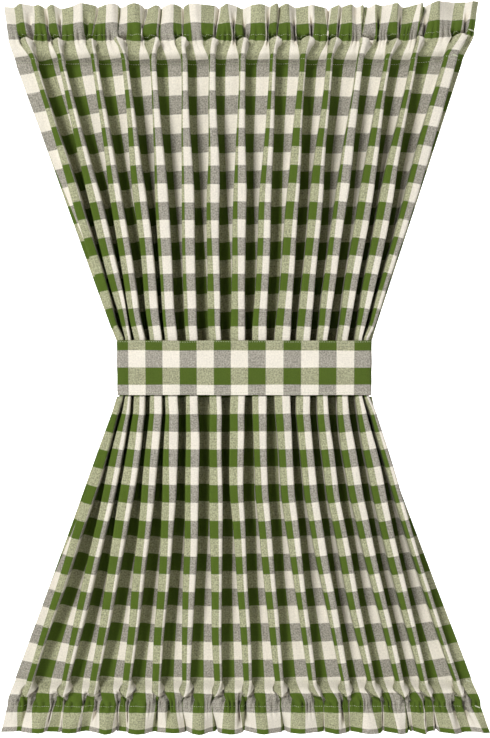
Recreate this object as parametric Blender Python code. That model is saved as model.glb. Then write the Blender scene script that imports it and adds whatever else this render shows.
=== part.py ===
"""French door curtain: a gathered panel between two rod casings, drawn in by a tieback.

The origin is the middle of the upper rod's axis. +Z is up, and the curtain's front faces -Y.
Four sewn pieces: panel, heading, foot_casing and tieback.
"""

import bisect
import math
from collections import namedtuple

import bmesh
import bpy
from mathutils import Vector

# Driving dimensions, in metres
CHECK = 0.0245              # one check of the cloth
PANEL_CLOTH = 0.0016        # panel thickness, its soft face and creases included
CASING_CLOTH = 0.0012       # each of the two layers of a casing
TIE_CLOTH = 0.0025          # the tieback, a doubled band
SEAM_GAP = 0.0003           # between the panel and a casing
TIE_TOP_Z = -0.4135         # upper edge of the tieback
TIE_HEIGHT = 0.0750
TIE_EASE = 0.0008           # from the folds to the tieback's front and back
TIE_SIDE_EASE = 0.0022      # from the folds to the tieback's ends
TIE_CORNER = 0.005          # outer corner radius of the tieback in plan
CINCH = 0.938               # width inside the tieback, as a share of the width beside it
CINCH_RUN = 0.024           # height beside the tieback over which the folds are drawn in
WALL_GAP = 0.005            # least width of a valley between two folds
ROD_HALF_DEPTH = 0.0070     # half the space that a casing leaves for its rod
PLEAT_DEPTH = 0.011         # pleats that the rod gathers in a casing's walls
STITCH_SHARE = 0.55         # depth of the folds at the outer stitch, as a share of the ruffle's
FLARE = 0.0095              # how much further out the ends of a ruffle's hem are than its stitch
FLARE_START = 0.17          # where the flare starts, from the middle
FLARE_RUN = 0.14
END_LIFT = 0.006            # the heading's right end sits this much higher

COLUMNS = 60                # checks across the flat cloth

# Heights at which the fold table below gives places
GATHER_Z = -0.040
TIE_START_Z = -0.402
TIE_END_Z = -0.500
SPREAD_Z = -0.627
FOOT_Z = -0.819

# A row for each fold: where its crest's middle is at the five heights, in millimetres across,
# then the share of the crest left of the fold's middle check line, at gather, tie and foot
Fold = namedtuple("Fold", "gather tie_start tie_end spread foot lean_gather lean_tie lean_foot")
FOLDS = (
    Fold(-288, -176, -174, -215, -277, 0.85, 0.70, 0.90),
    Fold(-251, -163, -162, -189, -234, 0.60, 0.42, 0.64),
    Fold(-206, -147, -146, -165, -197, 0.50, 0.28, 0.78),
    Fold(-165, -124, -124, -136, -156, 0.60, 0.24, 0.75),
    Fold(-127, -103, -101, -105, -118, 0.20, 0.26, 0.80),
    Fold(-84, -75, -73, -73, -80, 0.15, 0.40, 0.54),
    Fold(-45, -43, -40, -41, -38, 0.10, 0.63, 0.74),
    Fold(-4, -10, -11, -11, 0, 0.20, 0.54, 0.66),
    Fold(38, 20, 20, 23, 42, 0.50, 0.42, 0.62),
    Fold(79, 52, 51, 60, 85, 0.80, 0.55, 0.53),
    Fold(116, 81, 79, 91, 127, 0.70, 0.58, 0.35),
    Fold(158, 108, 108, 122, 161, 0.10, 0.50, 0.53),
    Fold(195, 136, 135, 154, 199, 0.60, 0.36, 0.47),
    Fold(231, 159, 160, 186, 232, 0.60, 0.30, 0.53),
    Fold(272, 173, 174, 211, 272, 0.70, 0.40, 0.40),
)
# The cloth's two side edges at the same five heights, in millimetres across
Edge = namedtuple("Edge", "gather tie_start tie_end spread foot")
LEFT_EDGE = Edge(-313, -183, -181, -222, -294)
RIGHT_EDGE = Edge(296, 180, 181, 218, 291)

# A row for each height at which the folds change form: width of a crest and place of its front
# face, both in millimetres
Form = namedtuple("Form", "height crest front")
FORMS = (
    Form(-884, 11, -13.5),
    Form(-819, 13, -14.5),
    Form(-627, 18, -17.0),
    Form(-500, 18, -20.0),
    Form(-402, 18, -20.0),
    Form(-206, 17, -17.0),
    Form(-60, 9, -14.0),
    Form(-28, 8, -13.5),
)

# A row for each turn of a ruffle's wave: the check it is on, its place across and how far it
# stands towards the front, both in millimetres
Turn = namedtuple("Turn", "check across front")
HEADING_TURNS = (
    Turn(0.0, -336, -2), Turn(1.0, -322, -5), Turn(1.7, -313, 9), Turn(3.0, -295, -1),
    Turn(3.6, -288, 5), Turn(4.6, -279, -7), Turn(5.6, -271, 2), Turn(7.0, -257, -9),
    Turn(8.8, -228, 11), Turn(10.6, -206, -7), Turn(12.6, -183, 10), Turn(13.6, -175, -8),
    Turn(15.6, -154, 10), Turn(17.0, -136, -10), Turn(17.6, -128, 2), Turn(19.5, -114, -12),
    Turn(20.7, -103, 7), Turn(22.6, -89, -7), Turn(24.5, -70, 12), Turn(26.8, -36, -7),
    Turn(27.7, -26, 7), Turn(30.0, -3, -7), Turn(31.7, 22, 6), Turn(32.8, 34, -4),
    Turn(33.8, 42, 11), Turn(34.6, 48, -9), Turn(35.7, 58, 10), Turn(37.1, 72, -6),
    Turn(38.7, 93, 6), Turn(40.6, 117, -10), Turn(42.0, 131, 5), Turn(42.8, 135, -5),
    Turn(43.9, 147, 8), Turn(44.5, 153, -6), Turn(45.2, 164, 3), Turn(46.2, 173, -6),
    Turn(47.0, 181, 7), Turn(48.0, 190, 0), Turn(49.8, 210, 12), Turn(51.2, 224, -8),
    Turn(53.2, 244, 9), Turn(54.0, 251, -9), Turn(55.8, 267, 10), Turn(57.0, 293, -5),
    Turn(59.0, 317, 4), Turn(60.0, 326, -1),
)
FOOT_TURNS = (
    Turn(0.0, -335, -2), Turn(1.7, -313, -6), Turn(3.6, -285, 6), Turn(5.8, -264, -9),
    Turn(7.5, -243, 9), Turn(9.7, -220, -11), Turn(11.5, -193, 12), Turn(13.0, -176, -9),
    Turn(15.5, -149, 10), Turn(17.6, -124, -8), Turn(19.6, -101, 7), Turn(21.7, -85, -10),
    Turn(23.6, -63, 12), Turn(25.7, -41, -8), Turn(27.6, -21, 9), Turn(29.8, 2, -6),
    Turn(31.7, 26, 8), Turn(34.0, 52, -10), Turn(35.7, 78, 8), Turn(38.5, 106, -10),
    Turn(39.8, 125, 9), Turn(42.7, 151, -9), Turn(44.4, 172, 8), Turn(46.7, 192, -10),
    Turn(48.2, 215, 9), Turn(50.8, 233, -8), Turn(52.0, 246, 6), Turn(54.5, 265, -8),
    Turn(56.0, 285, 8), Turn(57.4, 300, -7), Turn(59.0, 327, 5), Turn(60.0, 334, 0),
)

# Each casing: its rod's height, the heights of both stitch lines and the ruffle's hem from that
# rod, the rod space's upper and lower end, and the turns of its ruffle
Casing = namedtuple("Casing", "rod_z body_stitch space_start space_end hem_stitch hem turns")
HEADING = Casing(0.0, -0.0278, -0.012, 0.0075, 0.0110, 0.0520, HEADING_TURNS)
FOOT_CASING = Casing(-0.908, 0.0240, 0.012, -0.0075, -0.0110, -0.0470, FOOT_TURNS)


def mix(start, end, share):
    """Return the value a share of the way from start to end."""
    return start + (end - start) * share


def smooth(share):
    """Return a soft step from 0 to 1."""
    share = min(1.0, max(0.0, share))
    return share * share * (3.0 - 2.0 * share)


def at_height(row, z):
    """Return where a fold or an edge is at height z, in metres across."""
    heights = (GATHER_Z, TIE_START_Z, TIE_END_Z, SPREAD_Z, FOOT_Z)
    span = next((i for i in range(3) if z > heights[i + 1]), 3)
    share = (z - heights[span]) / (heights[span + 1] - heights[span])
    across = mix(row[span], row[span + 1], share) / 1000.0
    inside = (smooth((TIE_TOP_Z + CINCH_RUN - z) / CINCH_RUN)
              * smooth((z - tie_foot_z() + CINCH_RUN) / CINCH_RUN))
    return across * mix(1.0, CINCH, inside)


def tie_foot_z():
    """Return the height of the tieback's lower edge."""
    return TIE_TOP_Z - TIE_HEIGHT


def lean_at(fold, z):
    """Return the share of a crest that lies left of the fold's middle check line."""
    middle = (TIE_START_Z + TIE_END_Z) / 2.0
    if z > middle:
        return mix(fold.lean_gather, fold.lean_tie, smooth((GATHER_Z - z) / (GATHER_Z - middle)))
    return mix(fold.lean_tie, fold.lean_foot, smooth((middle - z) / (middle - FOOT_Z)))


def form_at(z):
    """Return the crest width and the place of the crests' front at height z, in metres."""
    height = min(max(z * 1000.0, FORMS[0].height), FORMS[-1].height)
    index = max(1, bisect.bisect_left([form.height for form in FORMS], height))
    low, high = FORMS[index - 1], FORMS[index]
    share = (height - low.height) / (high.height - low.height)
    return mix(low.crest, high.crest, share) / 1000.0, mix(low.front, high.front, share) / 1000.0


def wall_angle(width, cloth, flat, radii):
    """Return the steepness of a fold's wall that fits a length of cloth into a width.

    The half fold turns through an arc at the crest and one at the valley, whose radii add up
    to radii, and ends with half the valley's flat.
    """
    low, high = 0.0, 1.9
    for _ in range(40):
        angle = (low + high) / 2.0
        run = cloth - flat - radii * angle
        if flat + radii * math.sin(angle) + run * math.cos(angle) > width:
            low = angle
        else:
            high = angle
    return low


def half_fold(width, cloth):
    """Return the points of a half fold from its crest's flat to the valley's middle.

    Each point is a cloth length, a distance across and a depth, all from the crest's flat.
    """
    crest_radius = min(0.0028, 0.35 * width)
    valley_radius = min(0.0060, 0.40 * width)
    flat = 0.86 * max(0.0, width - crest_radius - valley_radius)
    angle = wall_angle(width, cloth, flat, crest_radius + valley_radius)
    run = cloth - flat - (crest_radius + valley_radius) * angle
    sine, fall = math.sin(angle), 1.0 - math.cos(angle)
    top = (crest_radius * angle, crest_radius * sine, crest_radius * fall)
    foot = (top[0] + run, top[1] + run * math.cos(angle), top[2] + run * sine)
    flat_start = (foot[0] + valley_radius * angle, foot[1] + valley_radius * sine,
                  foot[2] + valley_radius * fall)
    return [(0.0, 0.0, 0.0), top, foot, flat_start, (cloth, width, flat_start[2])]


def fold_line(z):
    """Return the panel's plan at height z: a cloth length and a place across and in depth."""
    crest_width, front = form_at(z)
    centres = [at_height(fold, z) for fold in FOLDS]
    left, right = at_height(LEFT_EDGE, z), at_height(RIGHT_EDGE, z)
    reach = [left] + centres + [right]
    widths, middles = [], []
    for number, fold in enumerate(FOLDS):
        pitch = min(reach[number + 1] - reach[number], reach[number + 2] - reach[number + 1])
        at_side = number in (0, len(FOLDS) - 1)
        width = min(crest_width, (1.3 if at_side else 1.0) * pitch - WALL_GAP)
        widths.append(max(0.0032, width))
        middles.append((4 * number + 2) * CHECK + (0.5 - lean_at(fold, z)) * widths[-1])

    def crest_side(number, side):
        """Return the cloth length and the place across of a crest flat's end."""
        flat = widths[number] / 2.0 - min(0.0028, 0.35 * widths[number])
        return middles[number] + side * flat, centres[number] + side * flat

    line = []
    cloth, across = crest_side(0, -1)
    for length, step, depth in reversed(half_fold(across - left, cloth)):
        line.append((cloth - length, across - step, front + depth))
    for number in range(len(FOLDS)):
        cloth, across = crest_side(number, 1)
        if number + 1 < len(FOLDS):
            next_cloth, next_across = crest_side(number + 1, -1)
            half = half_fold((next_across - across) / 2.0, (next_cloth - cloth) / 2.0)
        else:
            next_cloth = next_across = None
            half = half_fold(right - across, COLUMNS * CHECK - cloth)
        for length, step, depth in half:
            line.append((cloth + length, across + step, front + depth))
        if next_cloth is not None:
            for length, step, depth in reversed(half[:-1]):
                line.append((next_cloth - length, next_across - step, front + depth))
    return line


def lift(x, z):
    """Return how much higher the heading's right end sits at a place, in metres."""
    return END_LIFT * smooth((x - 0.19) / 0.14) * smooth((z + 0.30) / 0.30)


def side_normals(points):
    """Return the mitred plan normals of a line, each pointing to the back."""
    normals = []
    for index, point in enumerate(points):
        before = points[max(0, index - 1)]
        after = points[min(len(points) - 1, index + 1)]
        first = Vector((point[0] - before[0], point[1] - before[1]))
        second = Vector((after[0] - point[0], after[1] - point[1]))
        parts = [Vector((-edge.y, edge.x)).normalized() for edge in (first, second)
                 if edge.length > 1e-7]
        normal = sum(parts, Vector((0.0, 0.0))).normalized()
        normals.append(normal / max(0.75, normal.dot(parts[0])))
    return normals


def offset(points, distance):
    """Return a plan line moved a distance to its back."""
    return [(point[0] + normal.x * distance, point[1] + normal.y * distance)
            for point, normal in zip(points, side_normals(points))]


def add_material(name, colour, roughness):
    """Return a new Principled material."""
    material = bpy.data.materials.new(name)
    material.use_nodes = True
    shader = material.node_tree.nodes["Principled BSDF"]
    shader.inputs["Base Color"].default_value = (*colour, 1.0)
    shader.inputs["Roughness"].default_value = roughness
    shader.inputs["Metallic"].default_value = 0.0
    return material


def add_object(name, vertices, faces, place, material):
    """Add a closed mesh object at a place, with its vertices given in world metres."""
    mesh = bpy.data.meshes.new(name)
    local = [(x - place[0], y - place[1], z - place[2]) for x, y, z in vertices]
    mesh.from_pydata(local, [], faces)
    shape = bmesh.new()
    shape.from_mesh(mesh)
    bmesh.ops.recalc_face_normals(shape, faces=shape.faces)
    bmesh.ops.triangulate(shape, faces=shape.faces)
    shape.to_mesh(mesh)
    shape.free()
    mesh.shade_smooth()
    mesh.set_sharp_from_angle(angle=math.radians(50))
    mesh.materials.append(material)
    built = bpy.data.objects.new(name, mesh)
    built.location = place
    bpy.context.collection.objects.link(built)
    return built


def ring_faces(stations, size, start):
    """Return the triangles that join rings of size points, one ring for each station.

    The second half of a ring runs the other way along the cloth, so its diagonals are turned:
    both sides of the cloth then crease along the same lines.
    """
    faces = []
    for station in range(stations - 1):
        here, there = start + station * size, start + (station + 1) * size
        for index in range(size):
            after = (index + 1) % size
            corners = (here + index, here + after, there + after, there + index)
            turn = 1 if index >= size // 2 else 0
            first, second, third, fourth = (corners[(turn + step) % 4] for step in range(4))
            faces += [(first, second, third), (first, third, fourth)]
    return faces


def panel_heights():
    """Return the heights of the panel's rows, from the heading down to the foot casing."""
    top = HEADING.body_stitch - SEAM_GAP
    foot = FOOT_CASING.rod_z + FOOT_CASING.body_stitch + SEAM_GAP
    middle = [form.height / 1000.0 for form in FORMS if foot + 0.01 < form.height / 1000.0 < top - 0.01]
    inside = [TIE_TOP_Z, tie_foot_z()]
    return [top] + sorted(middle + inside, reverse=True) + [foot]


def build_panel(material):
    """Build the hung panel as one folded sheet."""
    rings = []
    for z in panel_heights():
        line = [(x, y) for _, x, y in fold_line(z)]
        front, back = offset(line, -PANEL_CLOTH / 2), offset(line, PANEL_CLOTH / 2)
        rings.append([(x, y, z + lift(x, z)) for x, y in front + back[::-1]])
    size = len(rings[0])
    vertices = [point for ring in rings for point in ring]
    faces = ring_faces(len(rings), size, 0)
    half = size // 2
    last = (len(rings) - 1) * size
    for index in range(half - 1):
        quad = (index, index + 1, size - 2 - index, size - 1 - index)
        faces.append(quad)
        faces.append(tuple(last + corner for corner in reversed(quad)))
    return add_object("panel", vertices, faces, (0.0, 0.0, 0.0), material)


def ruffle_line(turns, lengths, share, flare):
    """Return the plan of a ruffle's wave at given cloth lengths.

    share is how much of the wave's depth it has, and flare is how far its ends are drawn in.
    """
    checks = [turn.check for turn in turns]
    line = []
    for length in lengths:
        check = min(max(length / CHECK, 0.0), float(COLUMNS))
        index = min(max(1, bisect.bisect_left(checks, check)), len(turns) - 1)
        low, high = turns[index - 1], turns[index]
        part = (check - low.check) / (high.check - low.check)
        across = mix(low.across, high.across, part) / 1000.0
        front = mix(low.front, high.front, smooth(part)) / 1000.0
        drawn_in = flare * smooth((abs(across) - FLARE_START) / FLARE_RUN)
        line.append((across - math.copysign(drawn_in, across), -front * share))
    return line


def rod_walls(body, hem, lengths, share):
    """Return the front and back plan lines of a casing's inner walls beside the rod.

    body and hem are the plans at the two stitches, and share is how near the hem stitch is.
    The panel's folds run into the walls, and turn into twice as many pleats towards the hem.
    """
    nearest = min(y for _, y in body)
    depth = max(y for _, y in body) - nearest
    front, back = [], []
    for (body_x, body_y), (hem_x, _), length in zip(body, hem, lengths):
        x = mix(body_x, hem_x, share)
        fold = 1.0 - (body_y - nearest) / depth
        pleat = 0.5 + 0.5 * math.cos(math.pi * length / CHECK)
        wave = mix(fold, pleat, smooth(2.0 * share - 0.8))
        front.append((x, -ROD_HALF_DEPTH - PLEAT_DEPTH * wave))
        back.append((x, ROD_HALF_DEPTH + PLEAT_DEPTH * (1.0 - wave)))
    return front, back


def build_casing(name, casing, material):
    """Build a rod casing with its ruffle as one folded strip, open along its rod space."""
    body_z = casing.rod_z + casing.body_stitch
    folds = fold_line(body_z)
    lengths = [length for length, _, _ in folds]
    body = [(x, y) for _, x, y in folds]
    hem = ruffle_line(casing.turns, lengths, 1.0, 0.0)
    stitch = ruffle_line(casing.turns, lengths, STITCH_SHARE, FLARE)
    near_body, far_body = rod_walls(body, stitch, lengths, 0.40)
    near_hem, far_hem = rod_walls(body, stitch, lengths, 0.85)

    space_foot = mix(casing.body_stitch, casing.space_start, 0.25)
    cloth = CASING_CLOTH
    outer = (
        (offset(body, -cloth), casing.body_stitch),
        (offset(body, -cloth), space_foot),
        (offset(near_body, -cloth), casing.space_start),
        (offset(near_hem, -cloth), casing.space_end),
        (offset(stitch, -cloth), casing.hem_stitch),
        (offset(hem, -cloth), casing.hem),
        (offset(hem, cloth), casing.hem),
        (offset(stitch, cloth), casing.hem_stitch),
        (offset(far_hem, cloth), casing.space_end),
        (offset(far_body, cloth), casing.space_start),
        (offset(body, cloth), space_foot),
        (offset(body, cloth), casing.body_stitch),
    )
    inner = (
        (body, space_foot),
        (near_body, casing.space_start),
        (near_hem, casing.space_end),
        (stitch, casing.hem_stitch),
        (far_hem, casing.space_end),
        (far_body, casing.space_start),
    )
    vertices = []
    for loop in (outer, inner):
        for station in range(len(lengths)):
            for line, height in loop:
                x, y = line[station]
                z = casing.rod_z + height
                vertices.append((x, y, z + lift(x, z)))
    stations = len(lengths)
    inner_start = stations * len(outer)
    faces = ring_faces(stations, len(outer), 0)
    faces += [tuple(reversed(face)) for face in ring_faces(stations, len(inner), inner_start)]
    for station in (0, stations - 1):
        near = [station * len(outer) + index for index in range(len(outer))]
        hole = [inner_start + station * len(inner) + index for index in range(len(inner))]
        end = [
            (near[0], near[1], hole[0]),
            (near[1], near[2], hole[1], hole[0]),
            (near[2], near[3], hole[2], hole[1]),
            (near[3], near[4], hole[3], hole[2]),
            (near[4], near[5], hole[3]),
            (near[5], near[6], hole[3]),
            (near[6], near[7], hole[3]),
            (hole[3], near[7], near[8], hole[4]),
            (hole[4], near[8], near[9], hole[5]),
            (hole[5], near[9], near[10], hole[0]),
            (hole[0], near[10], near[11]),
            (hole[0], near[11], near[0]),
        ]
        faces += [tuple(reversed(face)) for face in end] if station == 0 else end
    return add_object(name, vertices, faces, (0.0, 0.0, casing.rod_z), material)


def band_bounds():
    """Return the least box in plan, in metres, that holds the folds inside the tieback."""
    points = [(x, y) for z in (TIE_TOP_Z, tie_foot_z()) for _, x, y in fold_line(z)]
    depth_room = PANEL_CLOTH / 2.0 + TIE_EASE
    side_room = PANEL_CLOTH / 2.0 + TIE_SIDE_EASE
    return (min(x for x, _ in points) - side_room, max(x for x, _ in points) + side_room,
            min(y for _, y in points) - depth_room, max(y for _, y in points) + depth_room)


def rounded_outline(left, right, near, far, radius, steps=5):
    """Return the corners and arcs of a rounded rectangle in plan."""
    centres = ((right - radius, far - radius, 0.0), (left + radius, far - radius, 90.0),
               (left + radius, near + radius, 180.0), (right - radius, near + radius, 270.0))
    outline = []
    for x, y, start in centres:
        for step in range(steps + 1):
            angle = math.radians(start + 90.0 * step / steps)
            outline.append((x + radius * math.cos(angle), y + radius * math.sin(angle)))
    return outline


def build_tieback(material):
    """Build the tieback as a closed flat band round the drawn-in folds."""
    left, right, near, far = band_bounds()
    inside = rounded_outline(left, right, near, far, TIE_CORNER - TIE_CLOTH)
    outside = rounded_outline(left - TIE_CLOTH, right + TIE_CLOTH, near - TIE_CLOTH,
                              far + TIE_CLOTH, TIE_CORNER)
    corners = ((outside, tie_foot_z()), (outside, TIE_TOP_Z), (inside, TIE_TOP_Z),
               (inside, tie_foot_z()))
    vertices = []
    for station in range(len(inside)):
        vertices += [(*outline[station], z) for outline, z in corners]
    closed = len(vertices)
    faces = ring_faces(len(inside) + 1, 4, 0)
    faces = [tuple(index % closed for index in face) for face in faces]
    middle = ((left + right) / 2.0, (near + far) / 2.0, TIE_TOP_Z - TIE_HEIGHT / 2.0)
    return add_object("tieback", vertices, faces, middle, material)


def main():
    """Clear the scene and build the curtain's four pieces under one empty."""
    for old in list(bpy.data.objects):
        bpy.data.objects.remove(old, do_unlink=True)
    check_cloth = add_material("check_cloth", (0.30, 0.36, 0.20), 0.88)
    tie_cloth = add_material("tie_cloth", (0.36, 0.42, 0.25), 0.88)
    curtain = bpy.data.objects.new("french_door_curtain", None)
    bpy.context.collection.objects.link(curtain)
    pieces = (
        build_panel(check_cloth),
        build_casing("heading", HEADING, check_cloth),
        build_casing("foot_casing", FOOT_CASING, check_cloth),
        build_tieback(tie_cloth),
    )
    for piece in pieces:
        piece.parent = curtain


main()
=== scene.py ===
"""Looks of the french door curtain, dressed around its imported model.

The origin is the middle of the upper rod's axis, +Z is up, and the curtain's front faces -Y.
Places on the cloth are counted in checks of the gingham: columns across the warp from the left
edge, and rows down the weft from the ruffle's top edge.
"""

import logging
import math
from dataclasses import dataclass, field
from enum import Enum
from typing import Any, NamedTuple

import bpy
import numpy as np
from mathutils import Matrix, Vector, noise


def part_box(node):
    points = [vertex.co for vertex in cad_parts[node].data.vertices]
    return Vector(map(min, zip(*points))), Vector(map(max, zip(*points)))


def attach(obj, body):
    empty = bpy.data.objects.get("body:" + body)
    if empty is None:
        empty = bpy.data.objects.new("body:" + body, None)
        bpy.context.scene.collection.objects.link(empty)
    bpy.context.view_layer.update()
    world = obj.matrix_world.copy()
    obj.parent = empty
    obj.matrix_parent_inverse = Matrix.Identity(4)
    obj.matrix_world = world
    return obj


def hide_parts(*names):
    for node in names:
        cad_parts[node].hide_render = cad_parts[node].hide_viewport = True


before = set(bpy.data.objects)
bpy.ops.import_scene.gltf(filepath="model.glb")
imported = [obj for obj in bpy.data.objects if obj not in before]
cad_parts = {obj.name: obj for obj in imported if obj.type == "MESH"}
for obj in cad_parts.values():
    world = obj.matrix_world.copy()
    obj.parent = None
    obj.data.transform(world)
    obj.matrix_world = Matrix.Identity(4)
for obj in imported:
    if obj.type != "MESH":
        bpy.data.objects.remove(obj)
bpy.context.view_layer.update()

CHECK = 0.0245              # one check across the cloth, in metres
COLUMNS = 60                # checks across the flat cloth
FOLD_CHECKS = 4             # checks from one fold's crest to the next
FIRST_CREST = 2             # check line in the middle of the first crest
MM = 1000.0                 # millimetres in a metre
SWAY_GAIN = 1.6             # brings seeded noise to about -1 to 1
ROUND_STEPS = 40            # steps in a check in which a ruffle's line is rounded
ROUND_WINDOW = 25           # steps over which each of its corners is rounded
STEEPEST_WALL = 1.9         # steepest wall of a fold, in radians
HALVINGS = 30               # how often the search for a wall's angle halves its range
SHARP_EDGE = math.radians(50)
TINY = 1e-9
WHITE = (1.0, 1.0, 1.0, 1.0)
PHOTO_ROWS = 738            # height of the view in pixels
SHIFT_ROWS = 61.0           # how far its middle lies above the camera's level, in pixels

log = logging.getLogger("curtain")

Colour = tuple[float, float, float]
PlanPoint = tuple[float, float, float]      # cloth length, place across and depth


class Fold(NamedTuple):
    """A fold's crest across, in mm at six heights, with its lean and its width."""

    gather: float
    above: float
    tie: float
    below: float
    spread: float
    foot: float
    lean_gather: float          # share of the crest left of its middle check line
    lean_tie: float
    lean_foot: float
    tie_width: float            # crest width in mm at the tieback
    girth: float = 1.0          # crest width elsewhere, as a share of the usual one
    flap: float = 0.0           # extra width in mm near the heading, where a side end lies flat

    @property
    def over(self) -> float:
        """Return the crest's place just above the tieback, where it already runs straight."""
        return self.tie

    @property
    def under(self) -> float:
        """Return the crest's place just below the tieback."""
        return self.tie


class Edge(NamedTuple):
    """A side edge of the cloth across, in mm at eight heights."""

    gather: float
    above: float
    over: float                 # just above the tieback, over which it bulges
    tie: float
    under: float                # just below the tieback
    below: float
    spread: float
    foot: float


class Form(NamedTuple):
    """The crest width and the crests' front at a height, in mm."""

    height: float
    crest: float
    front: float


class Turn(NamedTuple):
    """A turn of a ruffle's hem: the check it is on, and its stand forward in mm."""

    check: float
    front: float


class Cleft(NamedTuple):
    """A cleft between two lobes at a ruffle's stitch: the check in it, and its depth in mm."""

    check: float
    depth: float


class RowLine(NamedTuple):
    """A height in the hung cloth, in mm, and the weft row that lies there."""

    height: float
    row: float


class LevelRow(NamedTuple):
    """A level of a casing, and the weft row that lies there."""

    level: float
    row: float


class Run(NamedTuple):
    """A stretch of a grid up to its end, cut into even steps."""

    end: float
    steps: int


FOLDS = (
    Fold(-288, -180, -169.9, -178, -215, -277, 0.85, 1.00, 0.90, 5.6, 0.76),
    Fold(-251, -166, -161.4, -164, -189, -234, 0.60, 0.57, 0.64, 9.4),
    Fold(-206, -150, -145.7, -146, -163, -197, 0.50, 0.53, 0.78, 15.5),
    Fold(-165, -125, -122.5, -123, -134, -156, 0.60, 0.34, 0.75, 17.0),
    Fold(-127, -104, -102.0, -101, -104, -118, 0.20, 0.27, 0.80, 17.5),
    Fold(-84, -75, -73.2, -73, -73, -80, 0.15, 0.32, 0.54, 16.0),
    Fold(-45, -43, -41.0, -40, -41, -38, 0.10, 0.60, 0.74, 16.2),
    Fold(-4, -10, -10.0, -11, -11, 0, 0.20, 0.54, 0.66, 20.0),
    Fold(38, 20, 20.0, 20, 23, 42, 0.50, 0.42, 0.62, 19.5),
    Fold(79, 53, 51.5, 52, 60, 85, 0.80, 0.48, 0.53, 21.5),
    Fold(116, 82, 80.3, 80, 91, 127, 0.70, 0.50, 0.35, 19.0),
    Fold(158, 110, 106.7, 108, 121, 161, 0.10, 0.55, 0.53, 14.3),
    Fold(195, 138, 134.6, 136, 153, 199, 0.60, 0.43, 0.47, 14.3),
    Fold(231, 161, 157.2, 162, 185, 232, 0.60, 0.42, 0.53, 10.4),
    Fold(281, 176, 166.8, 177, 210, 272, 0.30, 0.55, 0.40, 7.2, 0.60, 13.5),
)
LEFT_EDGE = Edge(-315, -190, -181.5, -173.0, -181.0, -188, -229, -298)
RIGHT_EDGE = Edge(300, 185.5, 179.5, 170.6, 179.5, 184.5, 222, 293)
FORMS = (
    Form(-884, 11, -13.5),
    Form(-819, 13, -14.5),
    Form(-627, 18, -17.0),
    Form(-500, 18, -20.0),
    Form(-402, 18, -20.0),
    Form(-206, 17, -17.0),
    Form(-60, 9, -14.0),
    Form(-28, 8, -13.5),
)
# Where the lines between the checks cross a ruffle's stitch and its hem, in mm across
HEADING_STITCH = (
    -328, -315, -303, -291, -276, -270, -259, -252, -237, -224, -212, -209, -193, -177, -176,
    -163, -145, -142, -122, -120, -118, -99, -88, -84, -74, -61, -46, -38, -19, -14, -3, 7, 28,
    33, 42, 47, 63, 72, 88, 96, 114, 115, 125, 132, 148, 160, 163, 180, 187, 195, 209, 217, 227,
    237, 241, 251, 269, 284, 298, 309, 317,
)
HEADING_HEM = (
    -337, -323, -310, -295, -283, -277, -267, -258, -239, -226, -208, -205, -193, -177, -174,
    -164, -147, -136, -120, -118, -116, -99, -90, -85, -78, -61, -43, -33, -24, -11, -3, 8, 28,
    36, 46, 49, 61, 71, 89, 96, 111, 122, 131, 136, 149, 162, 171, 181, 191, 206, 213, 220, 242,
    245, 251, 260, 270, 294, 308, 317, 326,
)
FOOT_STITCH = (
    -329, -315, -304, -295, -271, -263, -253, -249, -226, -222, -210, -201, -180, -173, -166,
    -159, -136, -125, -119, -109, -96, -88, -86, -72, -56, -46, -45, -29, -14, -6, 0, 13, 29, 47,
    51, 63, 84, 95, 108, 110, 129, 136, 142, 145, 164, 175, 188, 193, 203, 221, 223, 228, 245,
    249, 259, 262, 278, 290, 301, 313, 326,
)
FOOT_HEM = (
    -341, -319, -314, -297, -280, -278, -262, -255, -235, -232, -219, -203, -186, -177, -165,
    -163, -139, -130, -123, -111, -91, -84, -82, -74, -56, -45, -38, -33, -14, -3, -1, 17, 33,
    51, 55, 63, 84, 102, 110, 112, 131, 141, 146, 148, 163, 187, 192, 195, 214, 223, 233, 236,
    252, 254, 264, 273, 292, 303, 317, 332, 342,
)
HEADING_TURNS = tuple(Turn(*pair) for pair in (
    (0.0, -2), (1.0, -5), (1.7, 9), (3.0, -1), (3.6, 5), (4.6, -7), (5.6, 2), (7.0, -9),
    (8.8, 11), (10.6, -7), (12.6, 10), (13.6, -8), (15.6, 10), (17.0, -10), (17.6, 2),
    (19.5, -12), (20.7, 7), (22.6, -7), (24.5, 12), (26.8, -7), (27.7, 7), (30.0, -7),
    (31.7, 6), (32.8, -4), (33.8, 11), (34.6, -9), (35.7, 10), (37.1, -6), (38.7, 6),
    (40.6, -10), (42.0, 5), (42.8, -5), (43.9, 8), (44.5, -6), (45.2, 3), (46.2, -6), (47.0, 7),
    (48.0, 0), (49.8, 12), (51.2, -8), (53.2, 9), (54.0, -9), (55.8, 10), (57.0, -5), (59.0, 4),
    (60.0, -1),
))
FOOT_TURNS = tuple(Turn(*pair) for pair in (
    (0.0, -2), (1.7, -6), (3.6, 6), (5.8, -9), (7.5, 9), (9.7, -11), (11.5, 12), (13.0, -9),
    (15.5, 10), (17.6, -8), (19.6, 7), (21.7, -10), (23.6, 12), (25.7, -8), (27.6, 9),
    (29.8, -6), (31.7, 8), (34.0, -10), (35.7, 8), (38.5, -10), (39.8, 9), (42.7, -9), (44.4, 8),
    (46.7, -10), (48.2, 9), (50.8, -8), (52.0, 6), (54.5, -8), (56.0, 8), (57.4, -7), (59.0, 5),
    (60.0, 0),
))
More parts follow.
